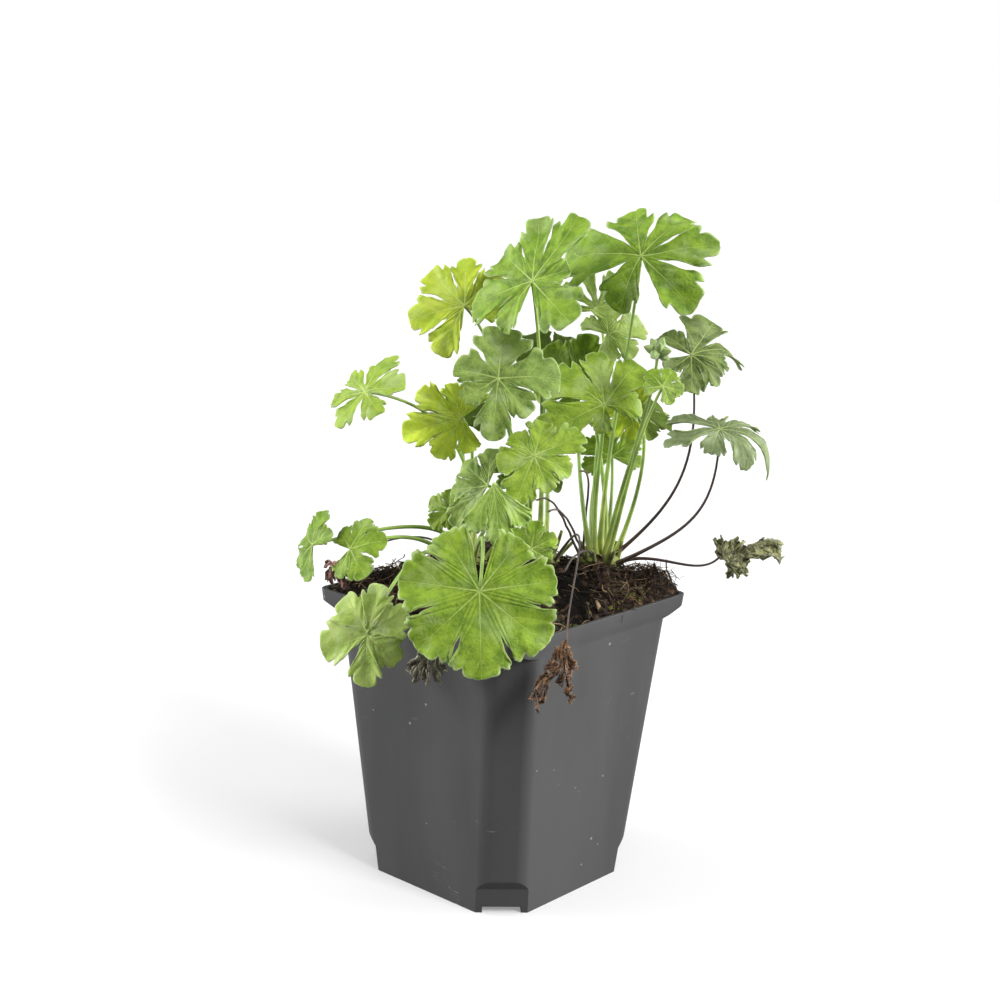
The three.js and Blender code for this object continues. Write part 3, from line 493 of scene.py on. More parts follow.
LEAVES = {
    "leaf_top_right": Leaf(
        "right", 0, (42, 6, 215), (-18, 44), 96, 28, headings=(-148, -68, 0, 40, 86, 146),
        reaches=(0.78, 1.06, 0.84, 1.05, 0.94, 0.92), bends=(40, 10, 0, 20, -5, 8), sinus=0.2,
        width=0.96, teeth=0.008, droop=22, arrive=(-0.03, 0.3, -1), colour="deep"),
    "leaf_top_middle": Leaf(
        "middle", 0, (6, -8, 207), (-45, 38), 62, 28, headings=(-168, -118, -68, -32, 4, 56, 115),
        reaches=(0.7, 1, 0.92, 1.02, 1, 0.5, 0.92), bends=(20, 5, -5, -22, -22, 0, 0), sinus=0.34,
        width=1.04, teeth=0.01, colour="deep"),
    "leaf_top_left": Leaf(
        "middle", 4, (-16.5, 15, 195.5), (-14, 28), 140, 21.5, headings=(-104, -50, 5, 46, 90, 150),
        reaches=(0.88, 0.97, 0.97, 0.93, 0.75, 0.65), sinus=0.3, colour="yellow",
        slot="leaf_yellow_green"),
    "leaf_far_left": Leaf(
        "left", 2, (-47.5, -15, 170), (-50, 45), 150, 16, headings=(-165, -84, -31, 9, 58, 145),
        reaches=(0.8, 0.9, 1, 0.95, 1.15, 0.95), sinus=0.16, width=0.9, arrive=(0.55, 0.85, -0.2),
        approach=0.7, colour="fresh"),
    "leaf_left_yellow": Leaf(
        "left", 0, (-16, -2, 160), (14, 26), 165, 19.5, headings=(-118, -73, -31, 17, 59, 105),
        reaches=(0.6, 0.83, 1.1, 0.93, 0.68, 0.7), colour="bright", slot="leaf_yellow_green"),
    "leaf_left_dark": Leaf(
        "middle", 5, (-4, -16, 176), (2, 34), 70, 20.5, headings=(-142, -95, -16, 64, 120, 164),
        reaches=(0.7, 0.78, 0.97, 1, 0.75, 1.05), bends=(0, 5, -10, 5, 10, 0), sinus=0.24,
        width=1.02, teeth=0.008, arrive=(0.15, 0.35, -1), colour="olive"),
    "leaf_centre": Leaf(
        "right", 5, (31.5, -5, 166.5), (4, 36), 97, 21, headings=(-168, -110, -46, 0, 38, 99),
        reaches=(0.5, 1.12, 1.07, 0.98, 1.08, 0.65), bends=(20, 5, 0, -5, 5, 25), sinus=0.32,
        colour="fresh"),
    "leaf_centre_back": Leaf(
        "right", 4, (24, 26, 168), (0, 20), 90, 18, headings=(-160, -100, -36, 8, 60),
        reaches=(1, 0.9, 1, 1.02, 0.65), bends=(0, 0, -15, -22, 0)),
    "leaf_pale": Leaf(
        "right", 2, (33, 18, 187), (12, 44), 45, 15, headings=(-100, -45, 22, 85, 140),
        reaches=(0.7, 0.95, 1, 0.8, 0.7), colour="pale"),
    "leaf_folded_young": Leaf(
        "right", 3, (30, 39, 193), (-10, 30), 108, 15, lobes=5, spacing=36, sinus=0.25, width=0.7,
        droop=-30, colour="pale"),
    "leaf_right_dark": Leaf(
        "right", 1, (60.5, 6, 182.5), (16, 58), 34, 24, spacing=54,
        headings=(-82, -20, 14, 50, 95, 138, 182), reaches=(0.58, 1.18, 1.12, 0.6, 0.6, 0.7, 0.5),
        bends=(0, -12, 32, 20, 30, 20, 0), sinus=0.3, droop=24, lean=1.1, arrive=(0.16, 0, -1),
        approach=0.5, colour="dark", stalk="dark", slot="leaf_dark_green"),
    "leaf_right_drooping": Leaf(
        "right", 16, (69.5, -10, 160.5), (4, 76), -5, 24,
        reaches=(0.9, 0.5, 0.7, 1.2, 0.85, 0.6, 0.8), bends=(0, 0, 20, 75, 60, 30, -5), sinus=0.3,
        width=0.85, droop=25, lean=1.6, arrive=(0.05, 0.1, -1), rise=0.5, approach=0.5,
        colour="misty", stalk="dark", slot="leaf_dark_green"),
    "leaf_right_small": Leaf(
        "right", 15, (49, -22, 176), (10, 40), 60, 8, lobes=5, spacing=58),
    "leaf_bright_low": Leaf(
        "right", 8, (42.5, 16.5, 160.5), (0, 26), 170, 12.5, lobes=5, spacing=58, wave=0.06,
        colour="gold", slot="leaf_yellow_green"),
    "leaf_low_middle": Leaf(
        "right", 9, (37, 34, 141), (0, 44), 100, 14, lobes=5, spacing=58),
    "leaf_middle_round": Leaf(
        "middle", 14, (8.5, -20, 151.5), (4, 40), 92, 17,
        headings=(-159, -103, -40, 15, 60, 110, 158),
        reaches=(1, 0.72, 0.66, 0.85, 1.08, 0.77, 0.8), bends=(5, 5, 0, 0, -28, 10, 10), sinus=0.46,
        colour="fresh", slot="leaf_yellow_green"),
    "leaf_folded_left": Leaf(
        "left", 6, (-6.5, -13, 139.5), (-32, 30), 170, 19, headings=(-53, -15, 25, 68),
        reaches=(1.15, 0.8, 0.85, 0.85), sinus=0.45, teeth=0.006, saddle=20, colour="olive"),
    "leaf_hanging": Leaf(
        "middle", 13, (-4.5, -31, 144), (4, 16), -92, 20, spacing=33, headings=(-43, -11, 21),
        reaches=(0.85, 1.02, 0.85), sinus=0.6, teeth=0.008, droop=12, arrive=(0.2, 1, -0.2),
        colour="soft"),
    "leaf_low_back": Leaf(
        "left", 4, (-19.5, 3, 127), (-20, 26), 165, 9, lobes=5, spacing=58, colour="fresh",
        slot="leaf_yellow_green"),
    "leaf_front": Leaf(
        "left", 15, (-7.5, -60, 116.5), (0, 26), -92, 26,
        reaches=(0.8, 0.92, 1, 1.08, 1.02, 0.95, 0.82), sinus=0.69, width=0.98, teeth=0.022,
        droop=8, rise=0.5, approach=0.4),
    "leaf_front_left": Leaf(
        "left", 13, (-43.5, -40, 95), (-14, 20), 85, 16.5, headings=(-115, -38, 4, 52, 128, 178),
        reaches=(1.02, 0.98, 1, 0.95, 0.85, 0.98), sinus=0.2, width=1.12, teeth=0.004,
        arrive=(0.3, 0.5, 0.8), approach=0.35, colour="pale"),
    "leaf_corner": Leaf(
        "left", 12, (-52, -12, 116), (-40, 34), 20, 13, lobes=5, spacing=60,
        arrive=(0.8, 0.5, 0.3)),
    "leaf_corner_outer": Leaf(
        "left", 10, (-65.5, -4, 115), (-60, 22), 100, 15, headings=(-150, -91, -33, 28, 100),
        reaches=(0.9, 0.75, 0.88, 0.85, 0.65), arrive=(0.8, 0.5, 0.1), colour="deep"),
    "leaf_ruffled": Leaf(
        "middle", 15, (8.5, -24, 121), (0, 24), 90, 10, lobes=5, spacing=58, wave=0.1),
    "leaf_back_high": Leaf(
        "middle", 2, (14, 48, 176), (170, 50), 60, 19),
    "leaf_back_right": Leaf(
        "right", 10, (44, 48, 157), (150, 46), 20, 18),
    "leaf_back_left": Leaf(
        "left", 3, (-20, 40, 152), (-165, 44), 140, 18),
    "leaf_back_low": Leaf(
        "middle", 10, (8, 52, 130), (178, 40), 95, 16, lobes=5, spacing=58),
    "withered_front": Leaf(
        "middle", 16, (20, -63, 103), (10, 10), -99, 24, lobes=5, spacing=13,
        reaches=(0.4, 0.8, 0.62, 1, 0.5), sinus=0.2, width=0.62, droop=8, curl=24, wave=0.08,
        crumple=2.6, rise=0.55, approach=0.25, colour="brown", stalk="dry", slot="withered_leaf"),
    "withered_grey": Leaf(
        "left", 14, (-24, -53, 98), (-10, 14), -85, 15, lobes=5, spacing=15, sinus=0.3, width=0.7,
        droop=10, curl=24, wave=0.08, crumple=1.8, rise=0.5, colour="faded", stalk="dry",
        slot="withered_leaf"),
    "withered_right": Leaf(
        "right", 7, (73, -4, 115.5), (0, 50), 8, 20, lobes=5, spacing=34,
        reaches=(0.35, 0.5, 1.05, 0.5, 0.35), sinus=0.3, width=1.1, droop=10, wave=0.1, crumple=2.8,
        lean=2, arrive=(-0.6, 0, -0.8), colour="withered", stalk="dark", slot="withered_leaf"),
    "withered_left": Leaf(
        "left", 11, (-56, -11, 110.5), (-30, 30), -80, 8.5, lobes=5, spacing=50, sinus=0.3,
        width=0.7, droop=40, wave=0.08, crumple=2.0, arrive=(0.7, 0.5, 0.4), colour="red",
        stalk="dry", slot="withered_leaf"),
}

CROWNS = {
    "right": SimpleNamespace(at=(33, 12), radius=7.4, top=112),
    "middle": SimpleNamespace(at=(12, 12), radius=7.2, top=111.5),
    "left": SimpleNamespace(at=(-13, 6), radius=7.2, top=111.5),
}
CROWN_FOOT = 99
SEAT_DEPTH = 3  # how far below its crown's top a stalk starts
SEAT_SLOPE = 0.3  # how much lower for each millimetre outwards
SEAT_RINGS = [
    SimpleNamespace(first=7, count=10, radius=5.4, lean=0.6),
    SimpleNamespace(first=1, count=6, radius=2.7, lean=0.25),
    SimpleNamespace(first=0, count=1, radius=0, lean=0),
]


def seat_of(crown_name, number, lean=None):
    """Where a stalk's foot stands in its crown, and the way it leaves it."""
    crown = CROWNS[crown_name]
    ring = next(ring for ring in SEAT_RINGS if number >= ring.first)
    outward = outward_at(2 * pi * (number - ring.first) / ring.count)
    place = Vector((*crown.at, crown.top - SEAT_DEPTH - SEAT_SLOPE * ring.radius))
    launch = outward * (ring.lean if lean is None else lean) + UP
    return place + outward * ring.radius, launch.normalized()


def stalk_path(foot, launch, end, arrival, rise, approach):
    span = (end - foot).length
    bends = (foot + launch * rise * span, end + arrival * approach * span)
    return interpolate_bezier(foot, *bends, end, STALK_STEPS)


def leaf_frame(leaf):
    """The blade's frame: +Y along its middle lobe, +Z out of its upper face, from its stalk's end."""
    right, above = (radians(angle) for angle in leaf.face)
    face = Vector((sin(right) * cos(above), -cos(right) * cos(above), sin(above)))
    sight = Vector((0, cos(SIGHT_DIP), -sin(SIGHT_DIP)))
    seen = Vector((cos(radians(leaf.tip)), 0, sin(radians(leaf.tip))))
    tip = (seen - sight * (seen.dot(face) / sight.dot(face))).normalized()
    turned = Matrix((tip.cross(face), tip, face)).transposed().to_4x4()
    return Matrix.Translation(leaf.at) @ turned, face, tip


def sectors_of(leaf, random):
    """Each lobe's heading, and how far its left and right halves reach round the blade."""
    usual = radians(leaf.spacing)
    headings = [radians(angle) for angle in leaf.headings]
    if headings:
        gaps = [usual, *(after - before for before, after in zip(headings, headings[1:])), usual]
        return list(zip(headings, zip([gap / 2 for gap in gaps], [gap / 2 for gap in gaps[1:]])))
    halves = [usual / 2 * (1 + SECTOR_VARIATION * next(random)) for _ in range(leaf.lobes)]
    edge = -sum(halves)
    sectors = []
    for half in halves:
        edge += 2 * half
        sectors.append((edge - half, (half, half)))
    return sectors


def lobes_of(leaf, random, sector_random):
    sectors = sectors_of(leaf, sector_random)
    outermost = (len(sectors) - 1) / 2
    lobes = []
    for i, (heading, halves) in enumerate(sectors):
        variation = 1 + LOBE_VARIATION * next(random)
        usual_bend = leaf.curl * next(random)
        reach = leaf.reaches[i] if leaf.reaches else 1 - TAPER * ((i - outermost) / outermost) ** 2
        lobe = SimpleNamespace(
            heading=heading,
            halves=halves,
            length=leaf.length * variation * reach,
            bend=radians(leaf.bends[i] if leaf.bends else usual_bend),
            phase=pi * next(random),
        )
        lobes.append(lobe)
    return lobes


def bent(leaf, lobe, place):
    """Where a point of a lobe laid flat, with its midrib along +Y, lies on the bent blade."""
    radius = place.length
    turn = atan2(place.x, place.y)
    heading = lobe.heading + turn
    sinus = leaf.sinus * leaf.length
    bow = radians(leaf.droop) + radians(leaf.saddle) * sin(heading) ** 2
    out = drop = 0
    for step in range(BEND_STEPS):
        r = radius * (step + 0.5) / BEND_STEPS
        dip = bow * r / leaf.length + lobe.bend * ramp(r, sinus, lobe.length - sinus)
        out += radius / BEND_STEPS * cos(dip)
        drop += radius / BEND_STEPS * sin(dip)
    free = ramp(radius, sinus, lobe.length - sinus)
    crease = FOLD * abs(turn) * radius
    share = turn / lobe.halves[turn > 0]
    ripple = leaf.wave * leaf.length * free * sin(RIPPLES * share + lobe.phase)
    return Vector((out * sin(heading), out * cos(heading), crease + ripple - drop))


def tooth_height(knot):
    """How far the edge stands out at a place along it, from 0 in a notch to 1 on a tooth."""
    if knot < FIRST_TOOTH:
        return 0.5
    if knot < MIDDLE_NOTCH:
        return abs(sin(pi * (knot - FIRST_TOOTH) / SIDE_TOOTH)) ** TOOTH_SHARPNESS
    return abs(sin(pi * (knot - MIDDLE_NOTCH) / MIDDLE_TOOTH)) ** TOOTH_SHARPNESS


def half_lobe_edge(leaf, lobe, half, random):
    """The toothed edge of half a lobe laid flat, from the sinus to the tip."""
    start = leaf.sinus * leaf.length
    knots = [Vector((1, SLIT * start))]
    for across, reach in HALF_LOBE:
        wide = across * leaf.width * (1 + WIDTH_VARIATION * next(random))
        far = reach * (1 + REACH_VARIATION * next(random))
        knots.append(Vector((wide, lerp(start, lobe.length, far))))
    knots.append(Vector((0, lobe.length)))
    edge = []
    for i in range(EDGE_STEPS + 1):
        across, radius = spline(knots, i / EDGE_STEPS)
        point = Vector((radius * sin(across * half), radius * cos(across * half)))
        outward = (point - Vector((0, TEETH_FROM * lobe.length))).normalized()
        stand = tooth_height(KNOTS * i / EDGE_STEPS) - 0.5
        edge.append(point + outward * leaf.teeth * leaf.length * stand)
    return edge


def grow_blade(bm, leaf, number, vein, flat):
    """The blade in its own frame. It marks each point with its place among the veins and laid flat."""
    lobes = lobes_of(leaf, dice(number), dice(number + SECTOR_SEEDS))
    random = dice(number + EDGE_SEEDS)
    for lobe in lobes:
        turned = Matrix.Rotation(-lobe.heading, 2)
        for side in (-1, 1):
            edge = half_lobe_edge(leaf, lobe, lobe.halves[side > 0], random)
            for vert, u, across in sheet(bm, EDGE_STEPS, ACROSS_STEPS):
                along = 1 - u if side > 0 else u
                rib = Vector((0, RIB_END * lobe.length * along**RIB_SPREAD))
                place = rib.lerp(edge[round(along * EDGE_STEPS)], across)
                place.x *= side
                knot = KNOTS * along
                pleat = PLEAT * cos(2 * pi * VEIN_SPACING * knot) * sin(pi * across**0.8) * min(knot, 1)
                frill = FRILL * sin(pi * knot + lobe.phase) * across**4 * min(knot / 2, 1)
                spread = (turned @ place).to_3d()
                swell = RUMPLE * noise.noise(spread / (RUMPLE_WIDTH * leaf.length) + UP * 7 * number)
                vert.co = bent(leaf, lobe, place) + UP * leaf.length * (pleat + frill + swell)
                vert[vein] = (knot, across, abs(place.x))
                vert[flat] = (spread.x + PATTERN_STEP * number, spread.y, 0)
    merge(bm)
    if leaf.crumple:
        for vert in bm.verts:
            for fineness, share in CRUMPLES:
                vert.co += noise.noise_vector(vert.co * fineness + UP * number) * leaf.crumple * share


def stalk_radius(share):
    sheath = 0.75 * exp(-share / 0.08)
    knee = 0.12 * exp(-(1 - share) / 0.03)
    return lerp(0.84, 0.48, share) + sheath + knee


def add_stalk(bm, path, radius, vein, flat, material_index=1):
    """Adds a stalk along the path, and marks its points with their place along and around it."""
    before = set(bm.faces)
    for vert, along, around in tube(bm, path, radius, STALK_SIDES):
        vert[vein] = (along, around, 0)
        vert[flat] = (5 * sin(2 * pi * around), 100 * along, 0)
    for face in set(bm.faces) - before:
        face.material_index = material_index


def marked_bmesh():
    """A bmesh with the two marks that the leaf finishes read."""
    bm = bmesh.new()
    bm.verts.layers.float.new("hairy")
    return bm, bm.verts.layers.float_vector.new("vein"), bm.verts.layers.float_vector.new("flat")


def make_leaf(node, number):
    leaf = LEAVES[node]
    bm, vein, flat = marked_bmesh()
    grow_blade(bm, leaf, number, vein, flat)
    placed, face, tip = leaf_frame(leaf)
    bmesh.ops.transform(bm, matrix=placed, verts=bm.verts)
    for vert in thicken(bm, BLADE):
        vert[flat].z = 1
    foot, launch = seat_of(leaf.crown, leaf.seat, leaf.lean)
    arrival = -face * STALK_UNDER - tip * STALK_BEHIND
    if leaf.arrive:
        arrival = Vector(leaf.arrive).normalized()
    path = stalk_path(foot, launch, Vector(leaf.at), arrival, leaf.rise, leaf.approach)
    slim = STALK_GIRTHS[leaf.stalk]
    blade = set(bm.verts)
    add_stalk(bm, path, lambda share: slim * stalk_radius(share), vein, flat)
    hairy = bm.verts.layers.float["hairy"]
    for vert in bm.verts:
        vert[hairy] = 1 if vert in blade else 0.5 if slim == 1 else 0
    weld(bm)
    name = node.replace("leaf_", "") + "_leaf"
    piece = settle(bm, name, PLANT_FRAME, BLADE_FINISHES[leaf.colour], STALK_FINISHES[leaf.stalk])
    finish_piece(piece, leaf.slot, node)
    return piece


leaves = [make_leaf(node, number) for number, node in enumerate(LEAVES, 1)]

# ---------------------------------------------------------------- dry stalks

# The place in the right crown, the end, and how far the stalk keeps its first way.
DRY_STALKS = {
    "dry_stalk_arched": (12, (10, 4, 131), 0.5),
    "dry_stalk_upright": (11, (25, 12, 140), 0.3),
    "dry_stalk_crossing": (13, (14, -8, 130), 0.3),
    "dry_stalk_low": (14, (20, -14, 111), 0.6),
}
DRY_APPROACH = 0.3
KINKS = 0.35  # size of a dry stalk's kinks, and how closely they follow each other
KINKS_FROM = 6  # the step from which they are full size


def dry_radius(share):
    return 0.46 + 0.35 * exp(-share / 0.06) - 0.12 * share


def make_dry_stalk(node, seat, end, rise):
    foot, launch = seat_of("right", seat)
    end = Vector(end)
    arrival = ((foot - end).normalized() + UP).normalized()
    path = stalk_path(foot, launch, end, arrival, rise, DRY_APPROACH)
    for i, point in enumerate(path):
        path[i] = point + noise.noise_vector(point * KINKS) * KINKS * min(i / KINKS_FROM, 1)
    bm, vein, flat = marked_bmesh()
    add_stalk(bm, path, dry_radius, vein, flat, 0)
    weld(bm)
    finish_piece(settle(bm, node + "_dry", PLANT_FRAME, STALK_FINISHES["dry"]), "withered_leaf", node)


for node, stalk in DRY_STALKS.items():
    make_dry_stalk(node, *stalk)

# ---------------------------------------------------------------- flower buds

BUD_CLUSTER = SimpleNamespace(crown="right", seat=6, at=(47.5, -14, 186), rise=0.4, approach=0.2)
BUDS = 9
BUD_TOP = 0.9  # height of the topmost bud on the cluster's ball, of -1 to 1
BUD_FALL = 1.6  # from there to the lowest
BUD_LIFT = 0.25  # how much more upwards the buds point
BUD_LENGTH = 5.2
BUD_WIDTH = 1.5
BUD_RIB = 0.10
AWN = 0.14  # width of the thread at a bud's tip
GOLDEN_TURN = radians(137.5)


def add_bud(bm, place, way, flat):
    """A pointed bud with five ribs, on a short stalk."""
    turn = way.to_track_quat("Z", "Y").to_matrix()
    for vert, along, around in sheet(bm, 14, 20):
        swell = sin(pi * along**0.8) ** 0.8 * (1 + BUD_RIB * cos(10 * pi * around))
        wide = BUD_WIDTH * max(swell, AWN * (1 - along)) if 0 < along < 1 else 0
        spoke = Vector((wide * cos(2 * pi * around), wide * sin(2 * pi * around), BUD_LENGTH * along))
        vert.co = place + turn @ spoke
        vert[flat] = (3 * around, BUD_LENGTH * along, 0)


def make_bud_cluster():
    foot, launch = seat_of(BUD_CLUSTER.crown, BUD_CLUSTER.seat)
    end = Vector(BUD_CLUSTER.at)
    bm, vein, flat = marked_bmesh()
    path = stalk_path(foot, launch, end, -UP, BUD_CLUSTER.rise, BUD_CLUSTER.approach)
    add_stalk(bm, path, stalk_radius, vein, flat)
    for i in range(BUDS):
        height = BUD_TOP - BUD_FALL * i / (BUDS - 1)
        wide = (1 - height**2) ** 0.5
        way = Vector((wide * cos(i * GOLDEN_TURN), wide * sin(i * GOLDEN_TURN), height + BUD_LIFT))
        add_bud(bm, end, way.normalized(), flat)
    hairy = bm.verts.layers.float["hairy"]
    for vert in bm.verts:
        vert[hairy] = 1
    weld(bm)
    finish = (bud_material(), STALK_FINISHES["green"])
    piece = settle(bm, "bud_cluster_hairy", PLANT_FRAME, *finish)
    finish_piece(piece, "bud_green", "bud_cluster")
    return piece


def bud_material():
    net = Finish(
        "bud green", Roughness=0.6, Sheen_Weight=0.4, Subsurface_Weight=0.1, Subsurface_Scale=0.001
    )
    streaks = net.noise(net.stretched(net.mark("flat"), 2.5, 0.5, 1), 1.0, 3.0, 0.6)
    colour = net.mix(net.rise(streaks, 0.35, 0.65), (0.30, 0.42, 0.12), (0.17, 0.27, 0.07))
    return net.done(colour, streaks, 0.6, 0.0004)


buds = make_bud_cluster()

# ---------------------------------------------------------------- crowns

CROWN_SCALES = 46
SCALE_STEPS = (7, 4)
SCALE_THICKNESS = 0.22
CROWN_STUBS = 7
SHOULDER = 0.45  # share of a crown's sheet that is its side; the rest is its dome
DOME = 3.6  # height


def crown_material():
    """Old, fibrous stalk bases: brown with strands of tan and green."""
    net = Finish("crown bark", Roughness=0.85, Sheen_Weight=0.1)
    strands = net.noise(net.stretched(net.place(), 1500, 1500, 260), 1.0, 4.0, 0.65)
    patches = net.rise(net.noise(net.place(), 260.0, 3.0, 0.6), 0.38, 0.54, 0.0, 0.85)
    colour = net.mix(net.rise(strands, 0.35, 0.65), (0.030, 0.018, 0.011), (0.15, 0.095, 0.045))
    colour = net.mix(patches, colour, (0.30, 0.37, 0.08))
    return net.done(colour, strands, 0.9, 0.0007)


def add_scale(bm, foot, outward, length, width, lean):
    """A papery scale that stands on the crown and curls outwards towards its pointed tip."""
    across = outward.cross(UP)
    for vert, along, side in sheet(bm, *SCALE_STEPS):
        share = 2 * side - 1
        wide = width * sin(pi * (0.22 + 0.78 * along)) * share / 2
        curl = lean * length * along**2
        hollow = -0.35 * width * (share**2) * (1 - along)
        high = length * along * (1 - 0.25 * along)
        vert.co = foot + across * wide + outward * (curl - hollow) + UP * high


def add_knob(bm, crown, middle):
    """The crown's ribbed body: a side that widens upwards, and a dome."""
    for vert, around, along in sheet(bm, 40, 16):
        profile = clamp(along / SHOULDER)
        dome = ramp(along, SHOULDER, 1 - SHOULDER)
        wide = crown.radius * (lerp(0.8, 1, profile) if dome == 0 else cos(pi / 2 * dome) ** 0.6)
        high = lerp(CROWN_FOOT, crown.top - 4, profile) + DOME * sin(pi / 2 * dome)
        spoke = outward_at(2 * pi * around) * wide * min(1, along * 40)
        ribs = noise.noise(Vector((spoke.x * 0.9, spoke.y * 0.9, high * 0.15)))
        vert.co = middle + spoke + UP * high + (spoke.normalized() * 0.7 + UP * 0.5) * ribs


def add_scales(bm, crown, middle, random):
    for i in range(CROWN_SCALES):
        share = ((i + 0.5) / CROWN_SCALES) ** 0.5
        outward = outward_at(i * GOLDEN_TURN)
        foot = middle + outward * crown.radius * share * 0.98 + UP * (crown.top - 2.6 - 5 * share**3)
        length = 3.6 + 1.8 * next(random)
        width = 2.4 + 0.7 * next(random)
        add_scale(bm, foot, outward, length, width, 0.28 + 0.35 * share + 0.2 * next(random))
    merge(bm)
    thicken(bm, SCALE_THICKNESS)


def add_stubs(bm, crown, middle, random):
    """What is left of old stalks: short, tapering and a little bent."""
    for i in range(CROWN_STUBS):
        outward = outward_at(2 * pi * i / CROWN_STUBS + 0.4 * next(random))
        foot = middle + outward * crown.radius * 0.75 + UP * (crown.top - 5)
        way = (outward * (0.7 + 0.5 * next(random)) + UP).normalized()
        tip = foot + way * (9 + 3 * next(random))
        bow = outward * 1.5 * next(random)
        path = interpolate_bezier(foot, lerp(foot, tip, 0.4) + bow, lerp(foot, tip, 0.8), tip, 8)
        tube(bm, path, lambda share: 0.85 - 0.3 * share, 7)


def make_crown(name):
    crown = CROWNS[name]
    random = dice(len(name))
    middle = Vector((*crown.at, 0))
    bm = bmesh.new()
    add_knob(bm, crown, middle)
    weld(bm)
    scales = bmesh.new()
    add_scales(scales, crown, middle, random)
    add_stubs(scales, crown, middle, random)
    weld(scales)
    mesh = bpy.data.meshes.new("scales")
    scales.to_mesh(mesh)
    scales.free()
    bm.from_mesh(mesh)
    bpy.data.meshes.remove(mesh)
    piece = settle(bm, f"crown_{name}_stalk_bases", PLANT_FRAME, CROWN_FINISH)
    finish_piece(piece, "crown_bark", f"crown_{name}")


CROWN_FINISH = crown_material()
for name in CROWNS:
    make_crown(name)

# ---------------------------------------------------------------- scattering

PER_SQUARE_MM = 1e6  # copies to the square metre


def scatter(name, grounds, shape, density, seed, sizes, tilt, mask, material):
    """Copies of a shape strewn over some pieces, as one mesh. Each copy gets a random tint from 0 to 1.

    density is in copies per square millimetre. sizes are the least and most a copy is scaled by, and
    tilt is how far it may lean off the ground's normal, in radians. mask names an attribute of the
    ground that thins the copies out.
    """
    grove = bpy.data.collections.new(name)
    for ground in grounds:
        grove.objects.link(ground)
    tree = bpy.data.node_groups.new(name, "GeometryNodeTree")
    tree.interface.new_socket("Geometry", in_out="OUTPUT", socket_type="NodeSocketGeometry")
    net = Net(tree)

    def chance(low, high, draw, kind="FLOAT"):
        return net.node("FunctionNodeRandomValue", low, high, None, seed + draw, data_type=kind)

    ground = net.node("GeometryNodeCollectionInfo", grove)
    ground = net.node("GeometryNodeRealizeInstances", ground)
    thinned = net.node("GeometryNodeInputNamedAttribute", mask)
    density = net.times(thinned, density * PER_SQUARE_MM)
    points = net.node("GeometryNodeDistributePointsOnFaces", ground, None, density, seed)
    upright = points.node.outputs["Rotation"]
    turn = chance((-tilt, -tilt, -pi), (tilt, tilt, pi), 1, "FLOAT_VECTOR")
    turn = net.node("FunctionNodeEulerToRotation", turn)
    turn = net.node("FunctionNodeRotateRotation", upright, turn, rotation_space="LOCAL")
    copies = net.node("GeometryNodeObjectInfo", shape, out="Geometry")
    size = chance(*sizes, 2)
    copies = net.node("GeometryNodeInstanceOnPoints", points, None, copies, None, None, turn, size)
    stored = {"data_type": "FLOAT", "domain": "INSTANCE"}
    tint = chance(0.0, 1.0, 3)
    copies = net.node("GeometryNodeStoreNamedAttribute", copies, None, "tint", tint, **stored)
    copies = net.node("GeometryNodeRealizeInstances", copies)
    net.feed(tree.nodes.new("NodeGroupOutput").inputs["Geometry"], copies)

    sower = bpy.data.objects.new(name, bpy.data.meshes.new(name))
    show(sower)
    sower.modifiers.new("sow", "NODES").node_group = tree
    graph = bpy.context.evaluated_depsgraph_get()
    sown = sower.evaluated_get(graph)
    mesh = bpy.data.meshes.new_from_object(sown, preserve_all_data_layers=True, depsgraph=graph)
    for made in (sower, shape):
        bpy.data.objects.remove(made)
    bpy.data.node_groups.remove(tree)
    bpy.data.collections.remove(grove)
    mesh.name = name
    return present(name, mesh, material)


def add_spike(bm, radius, length):
    """A three-sided spike along +Z, about the origin. Gives its points."""
    ends = {"radius1": radius, "radius2": 0, "depth": length}
    return bmesh.ops.create_cone(bm, segments=3, cap_ends=True, cap_tris=True, **ends)["verts"]


def hair_shape(length, radius):
    """A fine hair that stands along +Z, with its root just under the surface."""
    bm = bmesh.new()
    bmesh.ops.translate(bm, verts=add_spike(bm, radius, length), vec=UP * length * 0.46)
    return settle(bm, "hair", POT_FRAME)


def hair_material():
    net = Finish("leaf hair", Roughness=0.5, Sheen_Weight=0.3)
    return net.done(net.mix(net.mark("tint", "Fac"), (0.48, 0.60, 0.26), (0.74, 0.78, 0.52)))


hair = hair_shape(0.75, 0.022)
hairs = scatter("leaf_hairs", [*leaves, buds], hair, 0.35, 7, (0.5, 1.2), 0.5, "hairy", hair_material())
finish_piece(hairs, "leaf_green")

# ---------------------------------------------------------------- peat

SOIL_HALF = 43.7  # half the peat's width across the flats, just inside the rim
SOIL_CUT = 3.2  # cut off its corners
SOIL_EDGE = 99.4
SOIL_MOUND = 8.6
SOIL_SWELLS = [
    SimpleNamespace(at=(24, -30), height=-3.2, spread=12.6),
    SimpleNamespace(at=(40, 8), height=1.6, spread=15.5),
    SimpleNamespace(at=(53, 3), height=4.2, spread=8),
]
SOIL_CELLS = 150
# Below the edge, the peat's height, half its width, and what is cut off its corners.
SOIL_SKIRT = [(94.5, 43.3, 3.2), (92, 42, 9.5), (12.5, 34.9, 9.3), (9, 34.2, 12), (3.8, 33.8, 12)]
CLODS = [(0.11, 1.5), (0.33, 1.0), (0.9, 0.5), (2.1, 0.22)]  # of the peat's relief: fineness and height
BARE_FROM = 0.99  # how far out crumbs lie, of 1 at the rim
BARE_FADE = 0.06


def reach(way, half, cut):
    """How far a square with cut corners reaches from its middle in a direction."""
    x, y = abs(way.x), abs(way.y)
    return min(half / max(x, y), (2 * half - cut) / (x + y))


